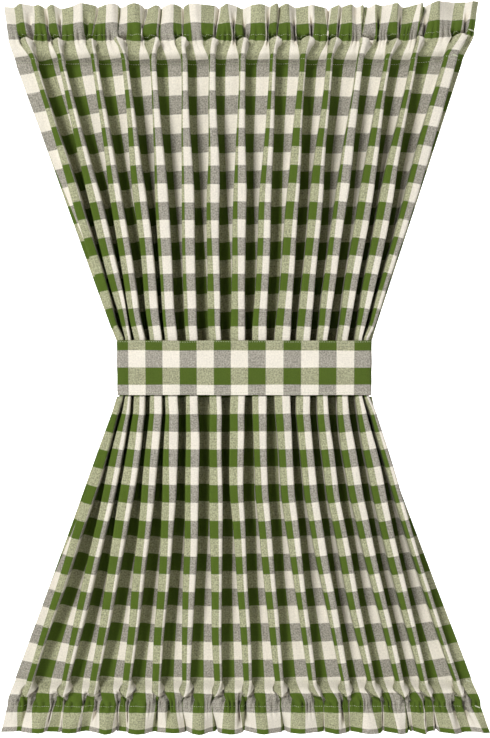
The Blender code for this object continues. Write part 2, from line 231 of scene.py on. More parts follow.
HEADING_CLEFTS = tuple(Cleft(*pair) for pair in (
    (2.5, 7), (4.6, 14), (6.5, 16), (9.3, 8), (10.5, 19), (13.5, 20), (16.5, 19), (19.0, 20),
    (22.6, 19), (26.5, 18), (28.6, 16), (30.2, 9), (32.6, 14), (34.5, 18), (36.6, 11),
    (38.5, 11), (40.5, 20), (42.5, 14), (45.5, 19), (47.6, 16), (50.6, 16), (53.6, 18),
    (54.7, 9), (58.5, 8),
))
FOOT_CLEFTS = tuple(Cleft(*pair) for pair in (
    (2.0, 5), (4.5, 16), (6.6, 19), (8.5, 18), (10.4, 8), (12.5, 18), (14.5, 15), (17.6, 15),
    (19.2, 7), (21.5, 19), (25.7, 19), (28.6, 15), (30.0, 11), (33.5, 19), (38.5, 20),
    (40.7, 14), (42.4, 19), (46.5, 16), (49.6, 19), (52.6, 16), (54.5, 18), (56.8, 8), (58.2, 8),
))
# From the foot up
ROWS = (
    RowLine(-884, 38.03), RowLine(-859, 37), RowLine(-809, 35), RowLine(-711, 31),
    RowLine(-563, 25), RowLine(-466, 21), RowLine(-321, 15), RowLine(-222, 11),
    RowLine(-171, 9), RowLine(-119, 7), RowLine(-67, 5), RowLine(-15, 3),
)


def mix(start: Any, end: Any, share: Any) -> Any:
    """Return the value a share of the way from start to end."""
    return start + (end - start) * share


def smooth(share: Any) -> Any:
    """Return a soft step from 0 to 1."""
    share = np.clip(share, 0.0, 1.0)
    return share * share * (3.0 - 2.0 * share)


def ramp(place: Any, start: float, end: float) -> Any:
    """Return a soft step from 0 at a start to 1 at an end."""
    return smooth((place - start) / (end - start))


def bell(place: Any, middle: float, width: float) -> Any:
    """Return a soft hump of height 1 round a middle."""
    return np.exp(-(((place - middle) / width) ** 2))


def notch(place: Any, middle: float, width: float) -> Any:
    """Return a hump of height 1 with a flat top and steep sides round a middle."""
    return np.exp(-(((place - middle) / width) ** 4))


def pull(offset: np.ndarray) -> np.ndarray:
    """Return how strongly cloth beside a fold line is drawn to it: at most 1, at an offset of 1."""
    return offset * np.exp(0.5 - 0.5 * offset ** 2)


def crest_line(number: Any) -> Any:
    """Return the check line in the middle of the crest of a fold, by its number."""
    return FOLD_CHECKS * number + FIRST_CREST


def row_at(z: float) -> float:
    """Return the weft row that lies at height z of the panel."""
    return float(np.interp(z * MM, [line.height for line in ROWS], [line.row for line in ROWS]))


def even_steps(start: float, runs: tuple[Run, ...]) -> np.ndarray:
    """Return the places that cut joined runs into their steps.

    Args:
        start: Where the first run starts.
        runs: The runs in order.

    Returns:
        The places in order, with no place twice.
    """
    parts = []
    for run in runs:
        parts.append(np.linspace(start, run.end, run.steps, endpoint=False))
        start = run.end
    return np.concatenate(parts + [np.array([start])])


class Unrest(NamedTuple):
    """Smooth seeded unevenness: its size, the length of its waves each way, and its seed."""

    size: float
    first: float
    second: float
    seed: float

    def at(self, first: float, second: float) -> float:
        """Return the unevenness at a place."""
        place = Vector((first / self.first, second / self.second, self.seed))
        return self.size * SWAY_GAIN * noise.noise(place)

    def along(self, places: np.ndarray, second: float) -> np.ndarray:
        """Return the unevenness for a row of places."""
        return np.array([self.at(float(place), second) for place in places])


class Signal:
    """A shader value, whose Python operators add Math nodes."""

    def __init__(self, graph: "ShaderGraph", socket: bpy.types.NodeSocket) -> None:
        """Wrap an output socket of a node in a graph."""
        self.graph = graph
        self.socket = socket

    def __add__(self, other: Any) -> "Signal":
        """Return the sum."""
        return self.graph.math("ADD", self, other)

    def __sub__(self, other: Any) -> "Signal":
        """Return the difference."""
        return self.graph.math("SUBTRACT", self, other)

    def __rsub__(self, other: Any) -> "Signal":
        """Return the difference from another value."""
        return self.graph.math("SUBTRACT", other, self)

    def __mul__(self, other: Any) -> "Signal":
        """Return the product."""
        return self.graph.math("MULTIPLY", self, other)

    def sine(self) -> "Signal":
        """Return the sine."""
        return self.graph.math("SINE", self)

    def size(self) -> "Signal":
        """Return the value without its sign."""
        return self.graph.math("ABSOLUTE", self)

    def clamped(self) -> "Signal":
        """Return the value kept between 0 and 1."""
        return self.graph.math("ADD", self, 0.0, clamp=True)

    __radd__ = __add__
    __rmul__ = __mul__


class ShaderGraph:
    """The nodes of one new material."""

    def __init__(self, name: str) -> None:
        """Start a material with an empty node tree.

        Args:
            name: The material's name.
        """
        self.material = bpy.data.materials.new(name)
        self.material.use_nodes = True
        self.tree = self.material.node_tree
        self.tree.nodes.clear()

    def node(self, kind: str, settings: dict[str, Any], inputs: dict[Any, Any]) -> bpy.types.Node:
        """Add a node.

        Args:
            kind: The node's Blender type.
            settings: Its properties, which are set first.
            inputs: A value, a signal or a socket for each input, by name or index.

        Returns:
            The new node.
        """
        made = self.tree.nodes.new(kind)
        for key, value in settings.items():
            setattr(made, key, value)
        for key, value in inputs.items():
            source = value.socket if isinstance(value, Signal) else value
            if isinstance(source, bpy.types.NodeSocket):
                self.tree.links.new(source, made.inputs[key])
            else:
                made.inputs[key].default_value = source
        return made

    def math(self, operation: str, *values: Any, clamp: bool = False) -> Signal:
        """Add a Math node.

        Args:
            operation: The node's operation.
            *values: A number or a signal for each of its inputs.
            clamp: Whether its result is kept between 0 and 1.

        Returns:
            The result.
        """
        settings = {"operation": operation, "use_clamp": clamp}
        made = self.node("ShaderNodeMath", settings, dict(enumerate(values)))
        return Signal(self, made.outputs[0])

    def blend(self, share: Any, first: Any, second: Any, way: str = "MIX") -> bpy.types.NodeSocket:
        """Mix two colours.

        Args:
            share: How much of the second colour shows.
            first: A colour or a colour socket.
            second: A colour or a colour socket.
            way: The Mix node's blend type.

        Returns:
            The mixed colour's socket.
        """
        settings = {"data_type": "RGBA", "blend_type": way}
        colours = [(*value, 1.0) if isinstance(value, tuple) else value for value in (first, second)]
        made = self.node("ShaderNodeMix", settings, {0: share, 6: colours[0], 7: colours[1]})
        return made.outputs[2]

    def weave_places(self) -> tuple[Signal, Signal]:
        """Read the places that a cloth's mesh carries.

        Returns:
            The column and the row of the cloth at each point, in checks.
        """
        places = self.node("ShaderNodeUVMap", {"uv_map": Cloth.WEAVE_MAP}, {})
        parts = self.node("ShaderNodeSeparateXYZ", {}, {0: places.outputs["UV"]})
        return Signal(self, parts.outputs[0]), Signal(self, parts.outputs[1])

    def grain(self, across: Any, down: Any, detail: float = 2.0) -> Signal:
        """Add flat noise.

        Args:
            across: The first part of its place.
            down: The second part of its place.
            detail: How many finer layers it has.

        Returns:
            The noise, between 0 and 1.
        """
        place = self.node("ShaderNodeCombineXYZ", {}, {0: across, 1: down})
        settings = {"noise_dimensions": "2D"}
        inputs = {"Vector": place.outputs[0], "Scale": 1.0, "Detail": detail, "Roughness": 0.55}
        return Signal(self, self.node("ShaderNodeTexNoise", settings, inputs).outputs["Fac"])

    def bump(self, strength: float, distance: float, height: Signal) -> bpy.types.NodeSocket:
        """Return the normal of a surface that a height makes uneven."""
        inputs = {"Strength": strength, "Distance": distance, "Height": height}
        return self.node("ShaderNodeBump", {}, inputs).outputs[0]

    def surface(self, inputs: dict[str, Any]) -> bpy.types.Material:
        """Close the graph with a Principled shader.

        Args:
            inputs: The shader's inputs, by name.

        Returns:
            The finished material.
        """
        shader = self.node("ShaderNodeBsdfPrincipled", {}, inputs)
        self.node("ShaderNodeOutputMaterial", {}, {"Surface": shader.outputs[0]})
        return self.material


@dataclass(frozen=True)
class Gingham:
    """Yarn-dyed check cloth: cream and green warp crossed by cream and charcoal weft."""

    cream: Colour = (0.765, 0.716, 0.618)       # cream warp with cream weft
    sage: Colour = (0.362, 0.364, 0.226)        # green warp with cream weft, painted lighter for lit crests
    grey: Colour = (0.328, 0.307, 0.259)        # cream warp with charcoal weft
    moss: Colour = (0.078, 0.124, 0.0155)       # green warp with charcoal weft, painted lighter for lit crests
    yarns: float = 26.0                         # yarns in one check
    border: float = 9.0                         # sharpness of the line between two checks
    even_speckle: float = 0.14                  # contrast between yarns of like colours
    mixed_speckle: float = 0.60                 # the same between yarns of unlike colours
    patchiness: float = 0.14                    # slow change of brightness over the cloth
    tone: float = 1.0                           # brightness of the whole cloth
    slubs: float = 1.3                          # thick places in a check along one yarn
    mottles: float = 11.0                       # fuzzy spots in a check
    patches: float = 0.55                       # slow changes in a check
    slub_contrast: float = 0.9
    mottle_contrast: float = 2.8
    slub_relief: float = 0.8
    mottle_relief: float = 0.5
    weft_seed: float = 40.0
    mottle_seed: float = 70.0
    patch_seed: float = 90.0
    roughness: float = 0.84
    fuzz_roughness: float = 0.14                # how much rougher the fuzzy spots are
    relief: float = 0.45
    relief_depth: float = 0.0003

    def bands(self, place: Signal) -> Signal:
        """Return 1 in every second check along a place, with a yarn-wide soft border."""
        return (0.5 - (place * math.pi).sine() * self.border).clamped()

    def material(self, name: str) -> bpy.types.Material:
        """Build the cloth's material.

        Args:
            name: The material's name.

        Returns:
            A woven material that reads the cloth's own places.
        """
        graph = ShaderGraph(name)
        column, row = graph.weave_places()
        green_warp = self.bands(column)
        dark_weft = self.bands(row)
        pale = graph.blend(green_warp, self.cream, self.sage)
        deep = graph.blend(green_warp, self.grey, self.moss)
        dyed = graph.blend(dark_weft, pale, deep)

        warp_yarn = (column * (math.pi * self.yarns)).sine()
        weft_yarn = (row * (math.pi * self.yarns)).sine()
        warp_slub = graph.grain(column * self.yarns, row * self.slubs)
        weft_slub = graph.grain(column * self.slubs + self.weft_seed, row * self.yarns)
        mottle = graph.grain(column * self.mottles, row * self.mottles + self.mottle_seed, detail=3.0)
        patch = graph.grain(column * self.patches, row * self.patches + self.patch_seed)

        over = warp_yarn * weft_yarn * 0.5 + (warp_slub - weft_slub) * self.slub_contrast
        over = over + (mottle - 0.5) * self.mottle_contrast
        mixed = green_warp + dark_weft - green_warp * dark_weft * 2.0
        contrast = mixed * (self.mixed_speckle - self.even_speckle) + self.even_speckle
        light = over * contrast + (patch - 0.5) * self.patchiness + self.tone
        shade = graph.node("ShaderNodeCombineColor", {}, {0: light, 1: light, 2: light})
        speckled = graph.blend(1.0, dyed, shade.outputs[0], way="MULTIPLY")

        height = warp_yarn.size() * (0.5 + over * 0.5) + weft_yarn.size() * (0.5 - over * 0.5)
        height = height + (warp_slub + weft_slub) * self.slub_relief + mottle * self.mottle_relief
        return graph.surface({
            "Base Color": speckled,
            "Roughness": (mottle * self.fuzz_roughness + self.roughness).clamped(),
            "Normal": graph.bump(self.relief, self.relief_depth, height),
            "Specular IOR Level": 0.12,
            "Sheen Weight": 0.03,
            "Sheen Roughness": 0.5,
        })


@dataclass(frozen=True)
class Thread:
    """Pale spun sewing thread."""

    colour: Colour = (0.66, 0.68, 0.50)
    shadow: Colour = (0.44, 0.46, 0.32)
    fibre_scale: float = 1400.0
    roughness: float = 0.5
    fibre_roughness: float = 0.2
    relief: float = 0.3
    relief_depth: float = 0.0001

    def material(self, name: str) -> bpy.types.Material:
        """Build the thread's material, mottled by its fibres.

        Args:
            name: The material's name.

        Returns:
            The material.
        """
        graph = ShaderGraph(name)
        place = graph.node("ShaderNodeTexCoord", {}, {})
        fibre = graph.node("ShaderNodeTexNoise", {}, {
            "Vector": place.outputs["Object"], "Scale": self.fibre_scale, "Detail": 2.0})
        twist = Signal(graph, fibre.outputs["Fac"])
        return graph.surface({
            "Base Color": graph.blend(twist, self.shadow, self.colour),
            "Roughness": twist * self.fibre_roughness + self.roughness,
            "Normal": graph.bump(self.relief, self.relief_depth, twist),
        })


@dataclass
class Cloth:
    """A thin sheet of cloth, as a grid over the middle of its thickness."""

    WEAVE_MAP = "cloth"

    points: np.ndarray          # rows x stations x 3, in metres
    places: np.ndarray          # rows x stations x 2, column and row in checks

    def normals(self) -> np.ndarray:
        """Work out which way the cloth faces.

        Returns:
            The unit normal of its face at each point.
        """
        down = np.gradient(self.points, axis=0)
        across = np.gradient(self.points, axis=1)
        normal = np.cross(down, across)
        return normal / np.maximum(np.linalg.norm(normal, axis=2, keepdims=True), 1e-12)

    def build(self, name: str, thickness: float, material: bpy.types.Material) -> bpy.types.Object:
        """Make the closed mesh of the sheet.

        Args:
            name: The object's name.
            thickness: The cloth's thickness in metres.
            material: The cloth's material.

        Returns:
            The new object, at the origin.
        """
        rows, stations, _ = self.points.shape
        half = self.normals() * (thickness / 2.0)
        sides = (self.points + half, self.points - half)
        vertices = np.concatenate([side.reshape(-1, 3) for side in sides])
        index = np.arange(rows * stations).reshape(rows, stations)
        corners = (index[:-1, :-1], index[1:, :-1], index[1:, 1:], index[:-1, 1:])
        face = np.stack([corner.ravel() for corner in corners], axis=1)
        back = face[:, ::-1] + rows * stations
        rim = np.concatenate([index[0, :-1], index[:-1, -1], index[-1, :0:-1], index[:0:-1, 0]])
        after = np.roll(rim, -1)
        side = np.stack([rim, after, after + rows * stations, rim + rows * stations], axis=1)
        faces = np.concatenate([face, back, side])
        mesh = bpy.data.meshes.new(name)
        mesh.from_pydata(vertices.tolist(), [], faces.tolist())
        weave = mesh.uv_layers.new(name=self.WEAVE_MAP)
        places = np.tile(self.places.reshape(-1, 2), (2, 1))
        weave.data.foreach_set("uv", places[faces.ravel()].astype(np.float32).ravel())
        return finish_mesh(mesh, material)


def finish_mesh(mesh: bpy.types.Mesh, material: bpy.types.Material) -> bpy.types.Object:
    """Shade a mesh smooth between its sharp edges and put it into the scene.

    Args:
        mesh: The mesh.
        material: Its material.

    Returns:
        The new object, which has the mesh's name.
    """
    mesh.validate()
    mesh.shade_smooth()
    mesh.set_sharp_from_angle(angle=SHARP_EDGE)
    mesh.materials.append(material)
    built = bpy.data.objects.new(mesh.name, mesh)
    bpy.context.collection.objects.link(built)
    return built


@dataclass(frozen=True)
class Steps:
    """How finely a fold's crest, shoulders, walls, bends and valley are cut."""

    crest: int
    shoulder: int
    wall: int
    bend: int
    valley: int


@dataclass(frozen=True)
class HungFolds:
    """The folds in which the cloth hangs from its heading to its foot, drawn in at the waist."""

    gather_z: float = -0.040
    above_z: float = -0.390
    tie_top_z: float = -0.4135
    tie_height: float = 0.0750
    below_z: float = -0.512
    spread_z: float = -0.627
    foot_z: float = -0.819
    panel_top: float = -0.0278      # the two inner stitch lines
    panel_foot: float = -0.8840
    bulge_reach: tuple[float, float] = (0.0038, 0.0010)     # from the tieback to its bulges
    width_reach: float = 0.085      # height over which a crest takes its width at the tieback
    wall_gap: float = 0.0050        # least gap between two crests at both ends of the curtain
    waist_gap: float = 0.0008       # the same at the tieback
    floor_tilt: tuple[float, float] = (0.0022, 0.0040)      # at both ends, and at the tieback
    undercut: tuple[float, float] = (0.0010, 0.0034)
    undercut_run: tuple[float, float] = (0.1, 0.9)          # shares of a valley's left half
    undercut_power: float = 1.5
    valley_shift: float = -0.40     # how far the checks in a valley lie off its middle
    first_shift: float = -0.16      # the same in the first valley, toward the heading
    first_reach: float = 0.25
    shift_power: float = 1.5
    wide_shoulder: float = 0.0030   # radius of a crest's shoulders at both ends of the curtain
    waist_shoulder: float = 0.0024  # the same at the tieback
    bend_radius: float = 0.0060
    bend_limit: float = 0.40        # widest bend, as a share of half a fold
    shoulder_limit: float = 0.35    # widest shoulder, as a share of the crest
    open_floor: float = 1.04        # flat share of a valley at both ends of the curtain
    waist_floor: float = 0.94       # the same at the tieback
    opening_run: tuple[float, float] = (0.10, 0.34)
    rod_depth: float = 0.68         # share of a valley's depth that is left beside a rod
    rod_reach: float = 0.130        # height over which it reaches its full depth
    least_crest: float = 0.0032
    end_lift: float = 0.006         # how much higher the heading's right end sits
    lift_run: tuple[float, float] = (0.19, 0.33)            # places across
    lift_foot: float = -0.30        # height from which it rises
    flap_run: tuple[float, float] = (-0.34, -0.10)          # heights between which a flap opens
    calm_reach: float = 0.050       # height beside the tieback in which the cloth is drawn even
    slope_step: float = 0.004       # height over which a fold's lean is measured
    wander: Unrest = Unrest(0.0013, 1.0 / 3.7, 0.11, 5.0)   # how far a fold strays from its line
    crest_unrest: Unrest = Unrest(0.12, 1.0 / 5.3, 0.16, 11.0)
    broad_dents: Unrest = Unrest(0.0011, 3.1, 0.10, 21.0)
    fine_dents: Unrest = Unrest(0.00030, 0.8, 0.035, 27.0)
    row_unrest: Unrest = Unrest(0.035, 5.0, 0.15, 31.0)

    def place(self, row: Fold | Edge, z: float) -> float:
        """Find where a fold or an edge is at a height.

        Args:
            row: The fold or the edge.
            z: The height in metres.

        Returns:
            Its place across, in metres.
        """
        over, under = self.bulge_reach
        heights = (self.gather_z, self.above_z, self.tie_top_z + over, self.tie_top_z,
                   self.tie_foot(), self.tie_foot() - under, self.below_z, self.spread_z,
                   self.foot_z)
        places = (row.gather, row.above, row.over, row.tie, row.tie, row.under, row.below,
                  row.spread, row.foot)
        last = len(heights) - 2
        span = next((i for i in range(last) if z > heights[i + 1]), last)
        share = (z - heights[span]) / (heights[span + 1] - heights[span])
        return mix(places[span], places[span + 1], share) / MM

    def tie_foot(self) -> float:
        """Return the height of the tieback's lower edge."""
        return self.tie_top_z - self.tie_height

    def tie_middle(self) -> float:
        """Return the height of the tieback's middle."""
        return self.tie_top_z - self.tie_height / 2.0

    def looseness(self, z: float) -> float:
        """Tell how free of the tieback the cloth hangs.

        Args:
            z: The height in metres.

        Returns:
            0 inside the tieback, and 1 well away from it.
        """
        above = smooth((z - self.tie_top_z) / self.calm_reach)
        below = smooth((self.tie_foot() - z) / self.calm_reach)
        return float(above + below)

    def openness(self, z: float) -> float:
        """Return 0 near the tieback, and 1 where the valleys have opened wide."""
        return float(ramp(abs(z - self.tie_middle()), *self.opening_run))

    def depth_share(self, z: float) -> float:
        """Tell how deep a valley is beside its full depth.

        Args:
            z: The height in metres.

        Returns:
            Its share of the full depth.
        """
        top = smooth((self.panel_top - z) / self.rod_reach)
        foot = smooth((z - self.panel_foot) / self.rod_reach)
        return float(mix(self.rod_depth, 1.0, min(top, foot)))

    def shoulder(self, z: float) -> float:
        """Return the radius of a crest's shoulders at height z."""
        return mix(self.waist_shoulder, self.wide_shoulder, self.openness(z))

    def lean(self, fold: Fold, z: float) -> float:
        """Tell how far a crest leans to the left of its fold's middle check line.

        Args:
            fold: The fold.
            z: The height in metres.

        Returns:
            The share of the crest that lies left of that line.
        """
        middle = self.tie_middle()
        if z > middle:
            share = smooth((self.gather_z - z) / (self.gather_z - middle))
            return mix(fold.lean_gather, fold.lean_tie, share)
        return mix(fold.lean_tie, fold.lean_foot, smooth((middle - z) / (middle - self.foot_z)))

    @staticmethod
    def form(z: float) -> tuple[float, float]:
        """Find the usual form of the crests.

        Args:
            z: The height in metres.

        Returns:
            The crest width and the crests' front, in metres.
        """
        heights = [form.height for form in FORMS]
        crest = np.interp(z * MM, heights, [form.crest for form in FORMS])
        front = np.interp(z * MM, heights, [form.front for form in FORMS])
        return float(crest) / MM, float(front) / MM

    @staticmethod
    def wall_angle(width: float, cloth: float, flat: float, radii: float) -> float:
        """Find how steep a fold's wall is.

        Args:
            width: The half fold's width.
            cloth: The cloth in it.
            flat: Its half valley floor.
            radii: The sum of its two bends' radii.

        Returns:
            The wall's angle from the crest, in radians.
        """
        low, high = 0.0, STEEPEST_WALL
        for _ in range(HALVINGS):
            angle = (low + high) / 2.0
            run = cloth - flat - radii * angle
            if flat + radii * math.sin(angle) + run * math.cos(angle) > width:
                low = angle
            else:
                high = angle
        return low

    def half_fold(self, width: float, cloth: float, z: float, steps: Steps) -> list[PlanPoint]:
        """Draw a half fold from its crest to the valley's middle.

        Args:
            width: The half fold's width.
            cloth: The cloth in it.
            z: The height in metres.
            steps: How finely it is cut.

        Returns:
            Its points.
        """
        shoulder = min(self.shoulder(z), self.bend_limit * width)
        bend = min(self.bend_radius, self.bend_limit * width)
        floor_share = mix(self.waist_floor, self.open_floor, self.openness(z))
        flat = floor_share * max(0.0, width - shoulder - bend)
        angle = self.wall_angle(width, cloth, flat, shoulder + bend)
        run = cloth - flat - (shoulder + bend) * angle
        sine, cosine = math.sin(angle), math.cos(angle)
        points = []
        for step in range(steps.shoulder):
            turn = angle * step / steps.shoulder
            height = shoulder * (1.0 - math.cos(turn))
            points.append((shoulder * turn, shoulder * math.sin(turn), height))
        length, across, depth = shoulder * angle, shoulder * sine, shoulder * (1.0 - cosine)
        for step in range(steps.wall):
            part = run * step / steps.wall
            points.append((length + part, across + part * cosine, depth + part * sine))
        length, across, depth = length + run, across + run * cosine, depth + run * sine
        for step in range(steps.bend):
            turn = angle * step / steps.bend
            left = angle - turn
            points.append((length + bend * turn, across + bend * (sine - math.sin(left)),
                           depth + bend * (math.cos(left) - cosine)))
        floor = depth + bend * (1.0 - cosine)
        length, across = length + bend * angle, across + bend * sine
        for step in range(steps.valley + 1):
            share = step / steps.valley
            points.append((mix(length, cloth, share), mix(across, width, share), floor))
        return points

    @staticmethod
    def laid(points: list[PlanPoint], start: tuple[float, float], way: int) -> list[PlanPoint]:
        """Lay a half fold against the end of a crest.

        Args:
            points: The half fold's points.
            start: The cloth length and the place across of the crest's end.
            way: 1 to its right, or -1 to its left.

        Returns:
            The points in order from left to right.
        """
        cloth, across = start
        line = [(cloth + way * length, across + way * step, depth) for length, step, depth in points]
        return line[::way]

    def centres(self, z: float) -> list[float]:
        """Find the folds' crest middles, each a little off its straight line.

        Args:
            z: The height in metres.

        Returns:
            Their places across, in metres.
        """
        loose = self.looseness(z)
        return [self.place(fold, z) + loose * self.wander.at(number, z)
                for number, fold in enumerate(FOLDS)]

    def plan(self, z: float, steps: Steps) -> np.ndarray:
        """Draw the cloth's plan.

        Args:
            z: The height in metres.
            steps: How finely each fold is cut.

        Returns:
            For each station the cloth length, the place across and the depth.
        """
        centres = self.centres(z)
        crests, starts, ends = [], [], []
        for number, (fold, width) in enumerate(zip(FOLDS, self.crest_widths(z, centres))):
            half = width / 2.0 - min(self.shoulder(z), self.shoulder_limit * width)
            middle = crest_line(number) * CHECK + (0.5 - self.lean(fold, z)) * width
            starts.append((middle - half, centres[number] - half))
            ends.append((middle + half, centres[number] + half))
            parts = [half * (2.0 * step / steps.crest - 1.0) for step in range(1, steps.crest)]
            crests.append([(middle + part, centres[number] + part, 0.0) for part in parts])

        cloth, across = starts[0]
        side = self.half_fold(across - self.place(LEFT_EDGE, z), cloth, z, steps)
        line = self.laid(side, starts[0], -1)
        for crest, end, start in zip(crests, ends, starts[1:]):
            fold = self.half_fold((start[1] - end[1]) / 2.0, (start[0] - end[0]) / 2.0, z, steps)
            line += crest + self.laid(fold, end, 1) + self.laid(fold[:-1], start, -1)
        cloth, across = ends[-1]
        side = self.half_fold(self.place(RIGHT_EDGE, z) - across, COLUMNS * CHECK - cloth, z, steps)
        plan = np.array(line + crests[-1] + self.laid(side, ends[-1], 1))
        for end, start in zip(ends, starts[1:]):
            self.slant(plan, (end[1], start[1]), z)
        plan[:, 2] *= self.depth_share(z)
        plan[:, 2] += self.form(z)[1] + self.relief(plan[:, 0], z)
        return plan

    def crest_widths(self, z: float, centres: list[float]) -> list[float]:
        """Find the folds' crest widths, drawn in where two crests would meet.

        Args:
            z: The height in metres.
            centres: The crests' middles across.

        Returns:
            The widths in metres.
        """
        usual, loose = self.form(z)[0], self.looseness(z)
        away = max(z - self.tie_top_z, self.tie_foot() - z, 0.0) / self.width_reach
        opened = ramp(z, *self.flap_run)
        widths = []
        for number, fold in enumerate(FOLDS):
            width = usual * fold.girth * (1.0 + loose * self.crest_unrest.at(number, z))
            width += fold.flap / MM * opened
            widths.append(float(mix(fold.tie_width / MM, width, smooth(away))))
        gap = mix(self.waist_gap, self.wall_gap, self.openness(z))
        shares = [1.0] * len(widths)
        for left, right in zip(range(len(widths)), range(1, len(widths))):
            room = centres[right] - centres[left] - gap
            share = 2.0 * room / (widths[left] + widths[right])
            shares[left] = min(shares[left], share)
            shares[right] = min(shares[right], share)
        return [max(self.least_crest, width * share) for width, share in zip(widths, shares)]

    def slant(self, plan: np.ndarray, ends: tuple[float, float], z: float) -> None:
        """Tip a valley's floor, and cut its left wall back under the crest.

        Args:
            plan: The plan at height z, with depths from the crest; it is changed in place.
            ends: Where the crests on both sides of the valley end across.
            z: The height in metres.
        """
        across, depth = plan[:, 1], plan[:, 2]
        inside = (across > ends[0]) & (across < ends[1]) & (depth > 0.0)
        if not inside.any():
            return
        middle, half = (ends[0] + ends[1]) / 2.0, (ends[1] - ends[0]) / 2.0
        place = (across[inside] - middle) / half
        share = depth[inside] / depth[inside].max()
        tilt, undercut = (mix(waist, wide, self.openness(z))
                          for wide, waist in (self.floor_tilt, self.undercut))
        plan[inside, 2] -= tilt * share * np.sin(math.pi * place)
        plan[inside, 1] -= undercut * share ** self.undercut_power * ramp(-place, *self.undercut_run)

    def relief(self, lengths: np.ndarray, z: float) -> np.ndarray:
        """Tell how far soft dents and creases push the cloth back.

        Args:
            lengths: The cloth lengths of the stations.
            z: The height in metres.

        Returns:
            The dents' depth in metres.
        """
        checks = lengths / CHECK
        dents = self.broad_dents.along(checks, z) + self.fine_dents.along(checks, z)
        return self.looseness(z) * dents

    def lift(self, across: np.ndarray, z: Any) -> np.ndarray:
        """Return how much higher the heading's right end sits at a place, in metres."""
        return self.end_lift * ramp(across, *self.lift_run) * ramp(z, self.lift_foot, 0.0)

    def guide(self, lengths: np.ndarray, z: float) -> np.ndarray:
        """Find where the cloth would lie across if the folds were pressed away.

        Args:
            lengths: The cloth lengths of the stations.
            z: The height in metres.

        Returns:
            Their places across, in metres.
        """
        crests = [crest_line(number) * CHECK for number in range(len(FOLDS))]
        spots = [self.place(LEFT_EDGE, z), *self.centres(z), self.place(RIGHT_EDGE, z)]
        return np.interp(lengths, [0.0, *crests, COLUMNS * CHECK], spots)

    def weave(self, plan: np.ndarray, z: float) -> np.ndarray:
        """Find the column and row of each station of a plan.

        The weft stays square to each fold, so its rows tip where a fold leans.

        Args:
            plan: The plan at height z.
            z: The height in metres.

        Returns:
            A column and a row for each station, in checks.
        """
        lengths, step = plan[:, 0], self.slope_step
        columns = lengths / CHECK
        slope = (self.guide(lengths, z + step) - self.guide(lengths, z - step)) / (2.0 * step)
        rows = row_at(z) - slope * (plan[:, 1] - self.guide(lengths, z)) / CHECK
        rows += self.row_unrest.along(columns, z)
        valley = 0.5 - 0.5 * np.cos(2.0 * math.pi * (columns - FIRST_CREST) / FOLD_CHECKS)
        first = (columns > crest_line(0)) & (columns < crest_line(1))
        near_heading = smooth((z - self.above_z) / self.first_reach)
        shift = self.valley_shift * (1.0 - self.openness(z))
        shift = shift + np.where(first, self.first_shift * near_heading, 0.0)
        return np.stack([columns + shift * valley ** self.shift_power, rows], axis=1)


